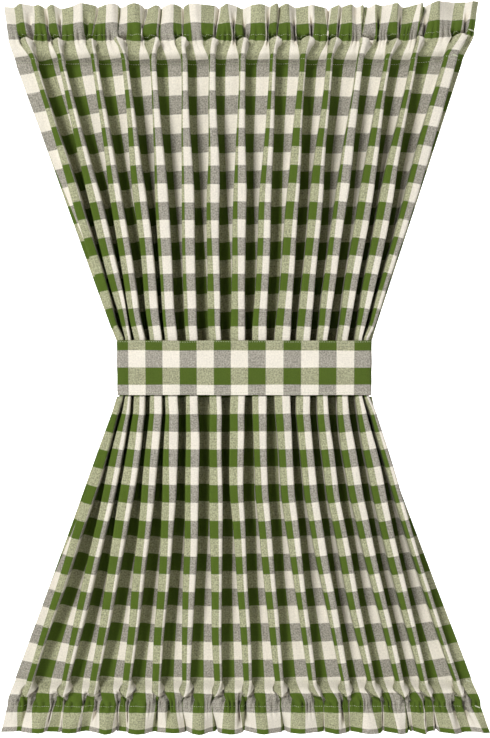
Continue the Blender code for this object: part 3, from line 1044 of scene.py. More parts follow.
@dataclass
class Stitches:
    """A row of machine stitches, each a small pad of thread between two needle holes."""

    length: float = 0.0027
    gap: float = 0.0006
    radius: float = 0.00030
    tack_length: float = 0.0090
    tack_radius: float = 0.00090
    sides: int = 5
    sink: float = 0.6           # how deep a stitch's ends go into the cloth, in radii
    stand: float = 0.35         # how far its middle stands off the cloth, in radii
    rings: tuple[tuple[float, float], ...] = ((0.18, 0.8), (0.5, 1.0), (0.82, 0.8))

    def vertices_of(self, start: np.ndarray, end: np.ndarray, up: np.ndarray) -> np.ndarray:
        """Make one stitch's points: a tip, three rings and a tip.

        Args:
            start: Where the thread comes up.
            end: Where it goes down.
            up: The cloth's normal there.

        Returns:
            The points, in metres.
        """
        along = end - start
        side = np.cross(along, up)
        side /= max(np.linalg.norm(side), TINY)
        points = [start - up * self.radius * self.sink]
        for share, swell in self.rings:
            middle = start + along * share + up * self.radius * self.stand * swell
            for corner in range(self.sides):
                angle = 2.0 * math.pi * corner / self.sides
                outward = math.cos(angle) * side + math.sin(angle) * up
                points.append(middle + self.radius * swell * outward)
        points.append(end - up * self.radius * self.sink)
        return np.array(points)

    def faces_of(self) -> list[tuple[int, ...]]:
        """Join one stitch's points.

        Returns:
            Its faces, by its points.
        """
        faces: list[tuple[int, ...]] = []
        count = self.sides
        last = 1 + (len(self.rings) - 1) * count
        for corner in range(count):
            after = (corner + 1) % count
            faces.append((0, 1 + after, 1 + corner))
            for here in range(1, last, count):
                there = here + count
                faces.append((here + corner, here + after, there + after, there + corner))
            faces.append((last + corner, last + after, last + count))
        return faces

    def along(self, line: np.ndarray, ups: np.ndarray) -> list[np.ndarray]:
        """Lay stitches along a line on the cloth.

        Args:
            line: The line's points.
            ups: The cloth's outward normal at each.

        Returns:
            The points of each stitch.
        """
        steps = np.linalg.norm(np.diff(line, axis=0), axis=1)
        run = np.concatenate([[0.0], np.cumsum(steps)])
        pitch = self.length + self.gap
        stitches = []
        for number in range(int((run[-1] - self.length) / pitch)):
            at = self.gap + number * pitch
            spots = ((at, line), (at + self.length, line), (at + self.length / 2.0, ups))
            start, end, up = (np.array([np.interp(place, run, values[:, axis]) for axis in range(3)])
                              for place, values in spots)
            stitches.append(self.vertices_of(start, end, up / max(np.linalg.norm(up), TINY)))
        return stitches

    def build(self, name: str, lines: list[tuple[np.ndarray, np.ndarray]],
              material: bpy.types.Material,
              tacks: list[tuple[np.ndarray, np.ndarray]]) -> bpy.types.Object:
        """Make one object of the stitches along several lines.

        Args:
            name: The object's name.
            lines: For each line its points and its normals.
            material: The thread's material.
            tacks: Where each bar tack starts and ends.

        Returns:
            The new object.
        """
        stitches = [stitch for line, ups in lines for stitch in self.along(line, ups)]
        bar = Stitches(radius=self.tack_radius)
        stitches += [bar.vertices_of(start, end, np.array([0.0, -1.0, 0.0])) for start, end in tacks]
        size = len(stitches[0])
        faces = [tuple(corner + number * size for corner in face)
                 for number in range(len(stitches)) for face in self.faces_of()]
        mesh = bpy.data.meshes.new(name)
        mesh.from_pydata(np.concatenate(stitches).tolist(), [], faces)
        return finish_mesh(mesh, material)


@dataclass
class Panel:
    """The body of the curtain, one width of gingham between the two inner stitch lines."""

    folds: HungFolds
    thickness: float = 0.0006
    flat_size: tuple[float, float] = (1.470, 0.856)
    steps: Steps = Steps(crest=3, shoulder=4, wall=3, bend=3, valley=2)
    # Finest just below the heading, at both edges of the tieback and just above the foot
    heights: tuple[Run, ...] = (
        Run(-0.0560, 9), Run(-0.3880, 34), Run(-0.4097, 4), Run(-0.4137, 2), Run(-0.4885, 7),
        Run(-0.4896, 1), Run(-0.5140, 4), Run(-0.8560, 35), Run(-0.8840, 9),
    )

    def grid(self) -> Cloth:
        """Lay out the panel's hung sheet.

        Returns:
            The sheet.
        """
        points, places = [], []
        for height in even_steps(self.folds.panel_top, self.heights):
            z = float(height)
            plan = self.folds.plan(z, self.steps)
            across = plan[:, 1]
            points.append(np.stack([across, plan[:, 2], z + self.folds.lift(across, z)], axis=1))
            places.append(self.folds.weave(plan, z))
        return Cloth(np.array(points), np.array(places))

    def build(self, cloth: bpy.types.Material) -> bpy.types.Object:
        """Args:
            cloth: The gingham.

        Returns:
            The panel.
        """
        piece = self.grid().build("panel_cloth", self.thickness, cloth)
        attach(piece, "root")
        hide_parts("panel")
        return piece


class End(Enum):
    """Which end of the curtain a casing closes: its sign is the way from body to hem."""

    HEADING = 1
    FOOT = -1


@dataclass(frozen=True)
class Ruffle:
    """How a ruffle's cloth lies at its stitch and at its hem."""

    stitch: tuple[float, ...]       # where each check line crosses the stitch, in mm across
    hem: tuple[float, ...]          # the same at the hem
    turns: tuple[Turn, ...]
    clefts: tuple[Cleft, ...]
    lobe_stand: float = 0.0120      # how far the lobes stand forward at the stitch
    stitch_wave: float = 0.25       # share of the hem's wave that they keep
    hem_wave: float = 1.05
    cleft_width: float = 0.25       # half a cleft's width at the stitch, in checks of cloth
    cleft_share: float = 1.60
    long_cleft: float = 17.5        # clefts deeper than this, in mm, run on to the hem
    hem_share: float = 0.36         # share of their depth that is left there
    hem_cleft: float = 0.17         # half their width there

    @staticmethod
    def rounded(marks: list[float], values: list[float], checks: np.ndarray) -> np.ndarray:
        """Join values by a line with soft corners.

        Args:
            marks: The checks at which the values are given.
            values: The values.
            checks: The checks to read.

        Returns:
            The value at each of them.
        """
        fine = np.linspace(-1.0, COLUMNS + 1.0, ROUND_STEPS * (COLUMNS + 2) + 1)
        first = values[0] - (values[1] - values[0]) / (marks[1] - marks[0])
        last = values[-1] + (values[-1] - values[-2]) / (marks[-1] - marks[-2])
        line = np.interp(fine, [-1.0, *marks, COLUMNS + 1.0], [first, *values, last])
        window = np.hanning(ROUND_WINDOW)
        line = np.convolve(line, window / window.sum(), mode="same")
        return np.interp(checks, fine, line)

    def across(self, places: tuple[float, ...], checks: np.ndarray) -> np.ndarray:
        """Return where the checks lie across, in metres, by the places of the check lines."""
        return self.rounded(list(range(COLUMNS + 1)), list(places), checks) / MM

    def wave(self, checks: np.ndarray) -> np.ndarray:
        """Return how far the hem's wave stands forward at given checks, in metres."""
        marks, fronts = zip(*self.turns)
        return self.rounded(list(marks), list(fronts), checks) / MM

    def hem_depth(self, checks: np.ndarray) -> np.ndarray:
        """Find the hem's depth, with the clefts that run on to it.

        Args:
            checks: The checks to read.

        Returns:
            The depth at each, in metres.
        """
        depth = -self.hem_wave * self.wave(checks)
        for cleft in self.clefts:
            if cleft.depth > self.long_cleft:
                floor = self.hem_share * cleft.depth / MM
                depth = depth + floor * notch(checks, cleft.check, self.hem_cleft)
        return depth

    def stitch_depth(self, checks: np.ndarray) -> np.ndarray:
        """Find the stitch's depth, with its clefts.

        Args:
            checks: The checks to read.

        Returns:
            The depth at each, in metres.
        """
        depth = -self.lobe_stand - self.stitch_wave * self.wave(checks)
        for cleft in self.clefts:
            floor = self.cleft_share * cleft.depth / MM
            depth = depth + floor * notch(checks, cleft.check, self.cleft_width)
        return depth


@dataclass
class Casing:
    """An end of the cloth, turned over and stitched twice round its rod, with a ruffle beyond.

    Its levels run from the body stitch at 0 over the hem stitch at 1 to the hem at 2.
    """

    folds: HungFolds
    name: str
    node: str
    end: End
    rod_z: float
    body_stitch: float              # heights from the rod
    hem_stitch: float
    hem: float
    ruffle: Ruffle
    rows: tuple[LevelRow, ...]
    tip_rows: tuple[LevelRow, ...]  # the same on the ridges, whose tips hide part of the cloth
    flat_size: tuple[float, float]
    tip_dive: tuple[float, float]   # levels between which a ridge's tip dives behind the lobes
    lobe_dive: tuple[float, float]  # the same for the cloth beside it
    tab_level: float                # where a ridge widens into a tab before it dives
    tab_reach: float                # checks beside a ridge's middle that belong to its tab
    tab_spread: float               # how flat the tab lies
    tip_point: float                # levels by which a tip's middle ends beyond its sides
    tip_core: tuple[float, float]   # checks beside a ridge that dive with it
    tuck_depth: float               # how deep they are tucked in behind the tip
    tuck_height: float              # levels over which the cloth comes forward again
    tuck_stay: float                # share of that over which it stays back
    slit_level: float               # slits on both sides of a ridge's tip
    slit_span: float
    slit_place: float               # checks from the ridge's middle to its slits
    slit_depth: float = 0.0210
    slit_width: float = 0.22
    slit_usual: float = 0.9         # usual share of their depth
    slit_uneven: float = 0.5        # how far single ones are from it
    thickness: float = 0.0006
    rod_clearance: float = 0.0070   # from the rod's axis to the near and the far wall
    ridge_stand: float = 0.0150     # how far a ridge stands before the near wall
    ridge_power: float = 1.3
    far_bulge: float = 0.0100
    bulge_power: float = 1.2
    wall_levels: tuple[float, float] = (0.42, 0.40)     # where the near and the far wall begin
    join_levels: tuple[float, float] = (0.78, 0.9)      # where they start to close to the stitch
    drawn_in: float = 0.92          # level at which the folds are as close as at the stitch
    lean_level: float = 0.7         # level at which the weft no longer follows the body's lean
    tab_height: float = 0.18
    tab_swell: float = 0.0018
    tab_usual: float = 0.8          # usual share of a full tab
    tip_uneven: float = 0.07        # how unevenly high the tips end, in levels
    point_uneven: float = 0.6       # how unevenly pointed they are
    point_reach: float = 0.5        # checks from a tip's middle to its sides
    cleft_pinch: tuple[float, float] = (0.34, 0.56)     # reach in checks, and how closed a cleft is
    slit_pinch: tuple[float, float] = (0.30, 0.56)      # the same for a slit
    full_cleft: float = 16.0        # clefts at least this deep, in mm, are drawn in fully
    cleft_spans: tuple[float, float] = (0.36, 0.80)     # levels that a cleft and a long one reach
    widest_check: float = 0.014     # how wide a check is taken to be at most when it is drawn in
    cleft_lean: float = 0.0050      # how far clefts and slits run behind the cloth on their right
    lean_share: float = 0.8         # share of a cleft's width that does
    lean_width: float = 0.18        # the same for a slit, in checks
    pinch_share: float = 0.9        # share of a slit's levels that is drawn in
    lobe_puff: float = 0.0018
    puff_level: float = 1.45
    puff_height: float = 0.30
    hem_level: float = 1.85         # where the ruffle has the form of its hem
    layer_gap: float = 0.0014       # between the middles of the ruffle's two layers
    seam_gap: float = 0.0008        # the same where they are stitched
    pleat_pitch: float = 0.47       # checks from one small pleat to the next
    pleat_depth: float = 0.0017
    pleat_sink: float = 1.2         # depth of the line between two pleats, in pleat depths
    pleat_usual: float = 0.7        # usual share of the full depth
    pleat_fade: float = 0.7         # how much flatter the pleats are on a ridge
    pleat_rise: tuple[float, float] = (0.30, 0.90)      # levels between which they deepen
    pleat_fall: tuple[float, float] = (1.05, 1.60)      # and those between which they end
    crease_depth: float = 0.0050    # sharp creases between the pleats, just beside the stitch
    crease_power: float = 1.5
    crease_level: float = 0.93
    crease_height: float = 0.12
    tip_unrest: Unrest = Unrest(1.0, 1.0 / 1.7, 1.0 / 9.0, 81.0)
    ruffle_unrest: Unrest = Unrest(0.0008, 0.9, 1.0 / 1.2, 51.0)
    hem_unrest: Unrest = Unrest(0.0014, 1.7, 1.0, 61.0)
    near_pleats: tuple[Unrest, Unrest] = (      # their stray and the unevenness of their depth
        Unrest(0.60, 1.3, 1.0, 41.0), Unrest(0.5, 2.1, 1.0 / 1.5, 43.0),
    )
    far_pleats: tuple[Unrest, Unrest] = (
        Unrest(0.60, 1.3, 1.0, 43.0), Unrest(0.5, 2.1, 1.0 / 1.5, 45.0),
    )
    body_seam: float = 0.11         # levels of the two stitch lines
    hem_seam: float = 1.0
    tack_zone: float = 0.016        # the bar tacks' place at the right end of a stitch line
    tack_depth: float = 0.006
    tack_stand: float = 0.0004
    tack_drop: float = 0.0018
    hem_turns: int = 3              # rows of points round the hem's edge
    turn_rows: float = 0.02         # cloth between them, in checks
    steps: Steps = Steps(crest=2, shoulder=3, wall=8, bend=5, valley=6)
    front_levels: tuple[Run, ...] = (
        Run(0.11, 2), Run(0.52, 7), Run(1.0, 17), Run(1.20, 6), Run(2.0, 10),
    )
    back_levels: tuple[Run, ...] = (Run(1.20, 6), Run(1.0, 3), Run(0.11, 10), Run(0.0, 2))
    body: np.ndarray = field(init=False)
    checks: np.ndarray = field(init=False)
    ridges: np.ndarray = field(init=False)
    beside: np.ndarray = field(init=False)
    unrest: np.ndarray = field(init=False)

    def __post_init__(self) -> None:
        """Work out the plan of the body's folds, and which ridge each station belongs to."""
        self.body = self.folds.plan(self.body_z(), self.steps)
        self.checks = self.body[:, 0] / CHECK
        ridges = np.round((self.checks - FIRST_CREST) / FOLD_CHECKS)
        self.ridges = np.clip(ridges, 0, len(FOLDS) - 1)
        self.beside = self.checks - crest_line(self.ridges)
        self.unrest = self.tip_unrest.along(self.ridges, self.rod_z)

    def body_z(self) -> float:
        """Return the height of the body stitch."""
        return self.rod_z + self.body_stitch

    def height(self, level: float) -> float:
        """Return the height above the rod of a level."""
        return float(np.interp(level, (0.0, 1.0, 2.0), (self.body_stitch, self.hem_stitch, self.hem)))

    def ridge(self) -> np.ndarray:
        """Return 1 on the body's ridges and 0 in its valleys, for each station."""
        depth = self.body[:, 2]
        return 1.0 - (depth - depth.min()) / (depth.max() - depth.min())

    def pleats(self, level: float, unrest: tuple[Unrest, Unrest]) -> np.ndarray:
        """Form the small gathered pleats beside the hem stitch.

        Args:
            level: The level.
            unrest: How they stray, and how uneven their depth is.

        Returns:
            Their depth in metres.
        """
        stray = unrest[0].along(self.checks, 0.0)
        uneven = self.pleat_usual + unrest[1].along(self.checks, level)
        arch = np.abs(np.sin(math.pi * (self.checks / self.pleat_pitch + stray)))
        strength = ramp(level, *self.pleat_rise) * (1.0 - ramp(level, *self.pleat_fall))
        crease = (1.0 - arch) ** self.crease_power * bell(level, self.crease_level, self.crease_height)
        depth = self.crease_depth * crease
        depth = depth - self.pleat_depth * strength * (2.0 * arch - self.pleat_sink)
        return depth * uneven * (1.0 - self.pleat_fade * self.ridge())

    def core(self) -> np.ndarray:
        """Return 1 at the stations that dive with a ridge's tip, and 0 beside them."""
        inner, outer = self.tip_core
        return smooth((outer - np.abs(self.beside)) / (outer - inner))

    def rod_front(self, level: float) -> float:
        """Return how far back the near layer may lie at a level, so that the rod has its room."""
        reach = self.rod_clearance ** 2 - self.height(level) ** 2
        return -math.sqrt(reach) if reach > 0.0 else 1.0

    def slits(self, level: float) -> np.ndarray:
        """Form the slits beside each ridge's tip.

        Args:
            level: The level.

        Returns:
            Their depth in metres.
        """
        reach = notch(np.abs(self.beside), self.slit_place, self.slit_width)
        reach = reach * bell(level, self.slit_level, self.slit_span)
        return self.slit_depth * reach * (self.slit_usual + self.slit_uneven * self.unrest)

    def pinch(self, across: np.ndarray, level: float) -> np.ndarray:
        """Draw the cloth toward the clefts and the slits.

        Args:
            across: The places across before.
            level: The level.

        Returns:
            The places across after.
        """
        spacing = np.abs(np.gradient(across)) / np.maximum(np.abs(np.gradient(self.checks)), 1e-6)
        spacing = np.clip(spacing, 0.0, self.widest_check)
        drawn, lean = np.zeros_like(across), np.zeros_like(across)
        reach, share = self.cleft_pinch
        for cleft in self.ruffle.clefts:
            runs_on = level > 1.0 and cleft.depth > self.ruffle.long_cleft
            closed = min(1.0, cleft.depth / self.full_cleft)
            closed = closed * bell(level, 1.0, self.cleft_spans[int(runs_on)])
            drawn += closed * share * reach * pull((self.checks - cleft.check) / reach)
            lean += closed * notch(self.checks, cleft.check, self.lean_share * self.ruffle.cleft_width)
        reach, share = self.slit_pinch
        closed = bell(level, self.slit_level, self.pinch_share * self.slit_span)
        offset = (np.abs(self.beside) - self.slit_place) / reach
        drawn += closed * share * reach * np.sign(self.beside) * pull(offset)
        lean += closed * notch(np.abs(self.beside), self.slit_place, self.lean_width)
        return across - spacing * drawn + self.cleft_lean * np.minimum(lean, 1.0)

    def tab(self, level: float) -> np.ndarray:
        """Return how much each station belongs to the wide tab at a ridge's end."""
        share = bell(self.beside, 0.0, self.tab_reach) * bell(level, self.tab_level, self.tab_height)
        return np.clip(share * (self.tab_usual + self.unrest), 0.0, 1.0)

    def widen(self, across: np.ndarray, level: float) -> np.ndarray:
        """Return the places across with the ridges spread into tabs."""
        middle = np.interp(crest_line(self.ridges), self.checks, across)
        return mix(across, middle + self.tab_spread * self.beside * CHECK, self.tab(level))

    def ruffle_depth(self, level: float) -> np.ndarray:
        """Form the ruffle, with soft creases that run up from the stitch.

        Args:
            level: The level.

        Returns:
            Its depth in metres.
        """
        stitch, hem = self.ruffle.stitch_depth(self.checks), self.ruffle.hem_depth(self.checks)
        lobe = np.clip(-stitch / self.ruffle.lobe_stand, 0.0, 1.0)
        puff = -self.lobe_puff * lobe * bell(level, self.puff_level, self.puff_height)
        soft = self.ruffle_unrest.along(self.checks, level) * smooth(level - 1.0)
        return mix(stitch, hem, ramp(level, 1.0, self.hem_level)) + puff + soft

    def front(self, level: float) -> np.ndarray:
        """Place the near layer.

        Args:
            level: The level.

        Returns:
            The places of its stations.
        """
        ruffle = mix(self.ruffle.across(self.ruffle.stitch, self.checks),
                     self.ruffle.across(self.ruffle.hem, self.checks), max(0.0, level - 1.0))
        across = self.widen(mix(self.body[:, 1], ruffle, smooth(level / self.drawn_in)), level)
        across = self.pinch(across, level)
        wall = -self.rod_clearance - self.ridge_stand * self.ridge() ** self.ridge_power
        depth = mix(self.body[:, 2], wall, smooth(level / self.wall_levels[0]))
        ruffled = self.ruffle_depth(level)
        lobe = mix(depth, ruffled, ramp(level, *self.lobe_dive))

        point = self.tip_point * (1.0 + self.point_uneven * self.unrest)
        point = point * np.abs(self.beside) / self.point_reach
        start, end = (edge + self.tip_uneven * self.unrest - point for edge in self.tip_dive)
        back_out = ((level - end) / self.tuck_height - self.tuck_stay) / (1.0 - self.tuck_stay)
        tip = mix(depth, self.tuck_depth, ramp(level, start, end))
        tip = mix(tip, ruffled, smooth(back_out))
        depth = mix(lobe, tip, self.core()) + self.slits(level)
        depth = depth + self.pleats(level, self.near_pleats) - self.tab_swell * self.tab(level)
        if level < 1.0:
            depth = np.minimum(depth, self.rod_front(level))
        z = self.rod_z + self.height(level) + np.zeros_like(across)
        if level > 1.0:
            z += self.end.value * (level - 1.0) * self.hem_unrest.along(self.checks, 3.0)
        return np.stack([across, depth, z + self.folds.lift(across, z)], axis=1)

    def back(self, level: float) -> np.ndarray:
        """Place the far layer.

        Args:
            level: The level.

        Returns:
            The places of its stations.
        """
        near = self.front(level)
        tangent = np.gradient(near[:, :2], axis=0)
        outward = np.stack([-tangent[:, 1], tangent[:, 0]], axis=1)
        outward /= np.maximum(np.linalg.norm(outward, axis=1, keepdims=True), TINY)
        gap = mix(self.seam_gap, self.layer_gap, ramp(level, 1.0, 1.25))
        across, depth = (near[:, :2] + outward * gap).T
        if level < 1.0:
            closing, drawn = self.join_levels
            wall = self.rod_clearance + self.far_bulge * (1.0 - self.ridge()) ** self.bulge_power
            wall = wall + self.pleats(level, self.far_pleats)
            wall = mix(self.body[:, 2] + self.seam_gap, wall, smooth(level / self.wall_levels[1]))
            depth = np.maximum(mix(wall, depth, ramp(level, closing, 1.0)), depth)
            across = mix(near[:, 0], across, ramp(level, drawn, 1.0))
        return np.stack([across, depth, near[:, 2]], axis=1)

    def rows_at(self, level: float) -> np.ndarray:
        """Find the weft rows of the near layer, without the body's lean.

        Args:
            level: The level.

        Returns:
            The row at each station, in checks.
        """
        first = LevelRow(0.0, row_at(self.body_z()))
        valley, tip = (np.interp(level, *zip(first, *rows)) for rows in (self.rows, self.tip_rows))
        return mix(valley, tip, self.ridge())

    def grid(self) -> Cloth:
        """Lay out the casing's strip: the near layer up to the hem, and the far layer back.

        Returns:
            The strip.
        """
        start = self.folds.weave(self.body, self.body_z())
        lean = start[:, 1] - row_at(self.body_z())
        levels = [float(level) for level in even_steps(0.0, self.front_levels)]
        points = [self.front(level) for level in levels]
        rows = [self.rows_at(level) + lean * (1.0 - smooth(level / self.lean_level))
                for level in levels]
        near, far = points[-1], self.back(2.0)
        middle = (near + far) / 2.0
        for part in range(1, self.hem_turns + 1):
            turn = math.pi * part / (self.hem_turns + 1)
            crown = self.end.value * self.layer_gap / 2.0 * math.sin(turn)
            points.append(middle + (near - middle) * math.cos(turn) + np.array([0.0, 0.0, crown]))
            rows.append(rows[-1] - self.end.value * self.turn_rows)
        hem_row = rows[-1]
        for level in even_steps(2.0, self.back_levels):
            points.append(self.back(float(level)))
            run = abs(self.hem - self.height(float(level))) / CHECK
            rows.append(hem_row - self.end.value * run)
        columns = np.tile(start[:, 0], (len(points), 1))
        places = np.stack([columns, np.array(rows)], axis=2)
        way = -self.end.value
        return Cloth(np.array(points)[::way], places[::way])

    def build(self, cloth: bpy.types.Material, thread: bpy.types.Material) -> bpy.types.Object:
        """Args:
            cloth: The gingham.
            thread: The sewing thread.

        Returns:
            The casing's cloth.
        """
        sheet = self.grid()
        piece = sheet.build(self.name, self.thickness, cloth)
        seams = self.build_stitches(sheet, thread)
        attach(piece, "root")
        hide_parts(self.node)
        return piece

    def build_stitches(self, sheet: Cloth, thread: bpy.types.Material) -> list[bpy.types.Object]:
        """Sew both stitch lines on the front and on the back.

        Args:
            sheet: The casing's cloth.
            thread: The sewing thread.

        Returns:
            The two rows of stitches.
        """
        way = -self.end.value
        points, normals = sheet.points[::way], sheet.normals()[::way]
        fronts, backs = even_steps(0.0, self.front_levels), even_steps(2.0, self.back_levels)
        first_back = len(fronts) + self.hem_turns
        seams = []
        for label, level in (("hem_stitches", self.hem_seam), ("body_stitches", self.body_seam)):
            lines = []
            for levels, start in ((fronts, 0), (backs, first_back)):
                row = start + int(np.argmin(np.abs(levels - level)))
                lines.append((points[row] + normals[row] * self.thickness / 2.0, normals[row]))
            tacks = [self.tack(lines[0][0])]
            seam = Stitches().build(f"{self.node}_{label}", lines, thread, tacks)
            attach(seam, "root")
            seams.append(seam)
        return seams

    def tack(self, line: np.ndarray) -> tuple[np.ndarray, np.ndarray]:
        """Place the bar tack at a stitch line's right end, on its foremost cloth.

        Args:
            line: The stitch line's points.

        Returns:
            Where the tack starts and ends.
        """
        end = line[line[:, 0] > line[:, 0].max() - self.tack_zone]
        front = end[:, 1].min() - self.tack_stand
        right = end[end[:, 1] < front + self.tack_depth, 0].max()
        height = end[:, 2].mean()
        return (np.array([right - Stitches.tack_length, front, height + self.tack_drop]),
                np.array([right, front, height - self.tack_drop]))


@dataclass
class Heading(Casing):
    """The cloth's upper end: a rod casing with a ruffle above."""

    name: str = "heading_cloth"
    node: str = "heading"
    end: End = End.HEADING
    rod_z: float = 0.0
    body_stitch: float = -0.0278
    hem_stitch: float = 0.0104
    hem: float = 0.0546
    ruffle: Ruffle = Ruffle(HEADING_STITCH, HEADING_HEM, HEADING_TURNS, HEADING_CLEFTS)
    rows: tuple[LevelRow, ...] = (
        LevelRow(0.21, 3.0), LevelRow(0.79, 2.0), LevelRow(1.38, 1.0), LevelRow(2.0, 0.02),
    )
    tip_rows: tuple[LevelRow, ...] = (
        LevelRow(0.27, 3.0), LevelRow(0.90, 2.03), LevelRow(1.0, 1.66), LevelRow(1.38, 1.0),
        LevelRow(2.0, 0.02),
    )
    flat_size: tuple[float, float] = (1.470, 0.160)
    tip_dive: tuple[float, float] = (0.83, 0.88)
    lobe_dive: tuple[float, float] = (0.58, 1.0)
    tab_level: float = 0.70
    tab_reach: float = 0.50
    tab_spread: float = 0.80
    tip_point: float = 0.10
    tip_core: tuple[float, float] = (0.45, 0.72)
    tuck_depth: float = 0.0020
    tuck_height: float = 0.17
    tuck_stay: float = 0.40
    slit_level: float = 0.84
    slit_span: float = 0.17
    slit_place: float = 0.74


@dataclass
class Foot(Casing):
    """The cloth's lower end: a rod casing with a ruffle below."""

    name: str = "foot_cloth"
    node: str = "foot_casing"
    end: End = End.FOOT
    rod_z: float = -0.908
    body_stitch: float = 0.0240
    hem_stitch: float = -0.0110
    hem: float = -0.0500
    ruffle: Ruffle = Ruffle(FOOT_STITCH, FOOT_HEM, FOOT_TURNS, FOOT_CLEFTS, hem_share=0.60)
    rows: tuple[LevelRow, ...] = (
        LevelRow(0.463, 39.0), LevelRow(1.225, 40.0), LevelRow(1.84, 41.0), LevelRow(2.0, 41.26),
    )
    tip_rows: tuple[LevelRow, ...] = (
        LevelRow(0.62, 38.92), LevelRow(1.0, 39.70), LevelRow(1.225, 40.0), LevelRow(1.84, 41.0),
        LevelRow(2.0, 41.26),
    )
    flat_size: tuple[float, float] = (1.470, 0.142)
    tip_dive: tuple[float, float] = (0.58, 0.64)
    lobe_dive: tuple[float, float] = (0.38, 0.84)
    tab_level: float = 0.35
    tab_reach: float = 1.25
    tab_spread: float = 0.66
    tip_point: float = 0.19
    tip_core: tuple[float, float] = (0.75, 0.95)
    tuck_depth: float = 0.0040
    tuck_height: float = 0.20
    tuck_stay: float = 0.60
    slit_level: float = 0.56
    slit_span: float = 0.27
    slit_place: float = 1.02


@dataclass
class Tieback:
    """A flat doubled band of the same gingham, turned by 90 degrees, round the waist."""

    folds: HungFolds
    thickness: float = 0.0016
    inset: float = 0.00095          # from the box to the middle of the band's thickness
    corner: float = 0.0042
    corner_steps: int = 8
    taper: float = 0.0009           # how much narrower each end is at the foot
    flat_size: tuple[float, float] = (0.795, 0.075)
    first_column: float = 1.417     # warp column at the band's upper edge
    column_pitch: float = 0.0236
    row_marks: tuple[tuple[float, float], ...] = ((0.1503, 15.0), (0.0041, 9.0), (-0.1606, 2.0))
    top_seam: float = 0.0020        # from an edge to its stitch line
    foot_seam: float = 0.0034
    groove: float = 0.0005
    groove_width: float = 0.0011
    step: float = 0.0030
    face_steps: int = 26
    back_steps: int = 6
    puff: Unrest = Unrest(0.00035, 0.03, 0.03, 71.0)
    puff_rise: float = 1.5          # how much faster the puffs change up the band than along it
    edge_unrest: Unrest = Unrest(0.0004, 0.06, 0.06, 73.0)
    edge_rise: float = 0.24         # how unlike the upper and the lower edge are

    def path(self) -> np.ndarray:
        """Draw the band's plan once round, from the middle of its back over the right end.

        Returns:
            The points of its plan.
        """
        low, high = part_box("tieback")
        left, right = low[0] + self.inset, high[0] - self.inset
        near, far = low[1] + self.inset, high[1] - self.inset
        radius = self.corner
        corners = (
            (right - radius, far - radius, 90.0), (right - radius, near + radius, 0.0),
            (left + radius, near + radius, -90.0), (left + radius, far - radius, -180.0),
        )
        path = [(0.0, far)]
        for x, y, angle in corners:
            turns = [math.radians(angle - 90.0 * step / self.corner_steps)
                     for step in range(self.corner_steps + 1)]
            arc = [(x + radius * math.cos(turn), y + radius * math.sin(turn)) for turn in turns]
            path += self.straight(path[-1], arc[0]) + arc
        return np.array(path + self.straight(path[-1], path[0])[:-1])

    def straight(self, start: tuple[float, float],
                 end: tuple[float, float]) -> list[tuple[float, float]]:
        """Return even points between two places of the plan, without both of them."""
        count = max(2, round(math.dist(start, end) / self.step))
        return [(mix(start[0], end[0], part / count), mix(start[1], end[1], part / count))
                for part in range(1, count)]

    def profile(self) -> list[tuple[float, float]]:
        """Draw the band's closed section.

        Returns:
            For each point its height above the band's foot, and its stand from the middle.
        """
        height, half = self.folds.tie_height, self.thickness / 2.0
        turns = [math.radians(angle) for angle in (45.0, 0.0, -45.0)]
        outer = []
        for step in range(self.face_steps + 1):
            z = mix(half, height - half, step / self.face_steps)
            dent = bell(z, self.foot_seam, self.groove_width)
            dent = dent + bell(z, height - self.top_seam, self.groove_width)
            outer.append((z, half - self.groove * float(dent)))
        top = [(height - half + half * math.cos(turn), half * math.sin(turn)) for turn in turns]
        inner = [(mix(height - half, half, step / self.back_steps), -half)
                 for step in range(self.back_steps + 1)]
        foot = [(half - half * math.cos(turn), half * math.sin(turn)) for turn in turns[::-1]]
        return outer + top + inner + foot

    def row_along(self, path: np.ndarray, run: np.ndarray) -> np.ndarray:
        """Find the weft rows along the band.

        Args:
            path: The band's plan.
            run: The way along it to each point, and back to the first.

        Returns:
            The row at each run.
        """
        front = path[:, 1] < path[:, 1].min() + 1e-6
        marks = [float(np.interp(-x, -path[front, 0], run[:-1][front])) for x, _ in self.row_marks]
        rows = [row for _, row in self.row_marks]
        first = (rows[1] - rows[0]) / (marks[1] - marks[0])
        last = (rows[2] - rows[1]) / (marks[2] - marks[1])
        before = rows[0] + first * (run - marks[0])
        after = rows[2] + last * (run - marks[2])
        inside = np.interp(run, marks, rows)
        return np.where(run < marks[0], before, np.where(run > marks[2], after, inside))

    def surface(self, path: np.ndarray) -> tuple[np.ndarray, np.ndarray]:
        """Form the outside of the band, a little puffed and uneven.

        Args:
            path: The band's plan.

        Returns:
            Its points by station and height, and the normals of the stations.
        """
        tangent = np.roll(path, -1, axis=0) - np.roll(path, 1, axis=0)
        tangent /= np.linalg.norm(tangent, axis=1, keepdims=True)
        outward = np.stack([-tangent[:, 1], tangent[:, 0], np.zeros(len(path))], axis=1)
        profile = self.profile()
        widest = abs(path[:, 0]).max()
        points = np.zeros((len(path), len(profile), 3))
        for station, (x, y) in enumerate(path):
            for part, (z, stand) in enumerate(profile):
                share = z / self.folds.tie_height
                puff = self.puff.at(x, self.puff_rise * z + y)
                edge = self.edge_unrest.at(x, y + self.edge_rise * share)
                drawn = 1.0 - self.taper * (1.0 - share) / widest
                base = np.array([x * drawn, y, self.folds.tie_foot() + z + edge])
                points[station, part] = base + outward[station] * (stand + puff)
        return points, outward

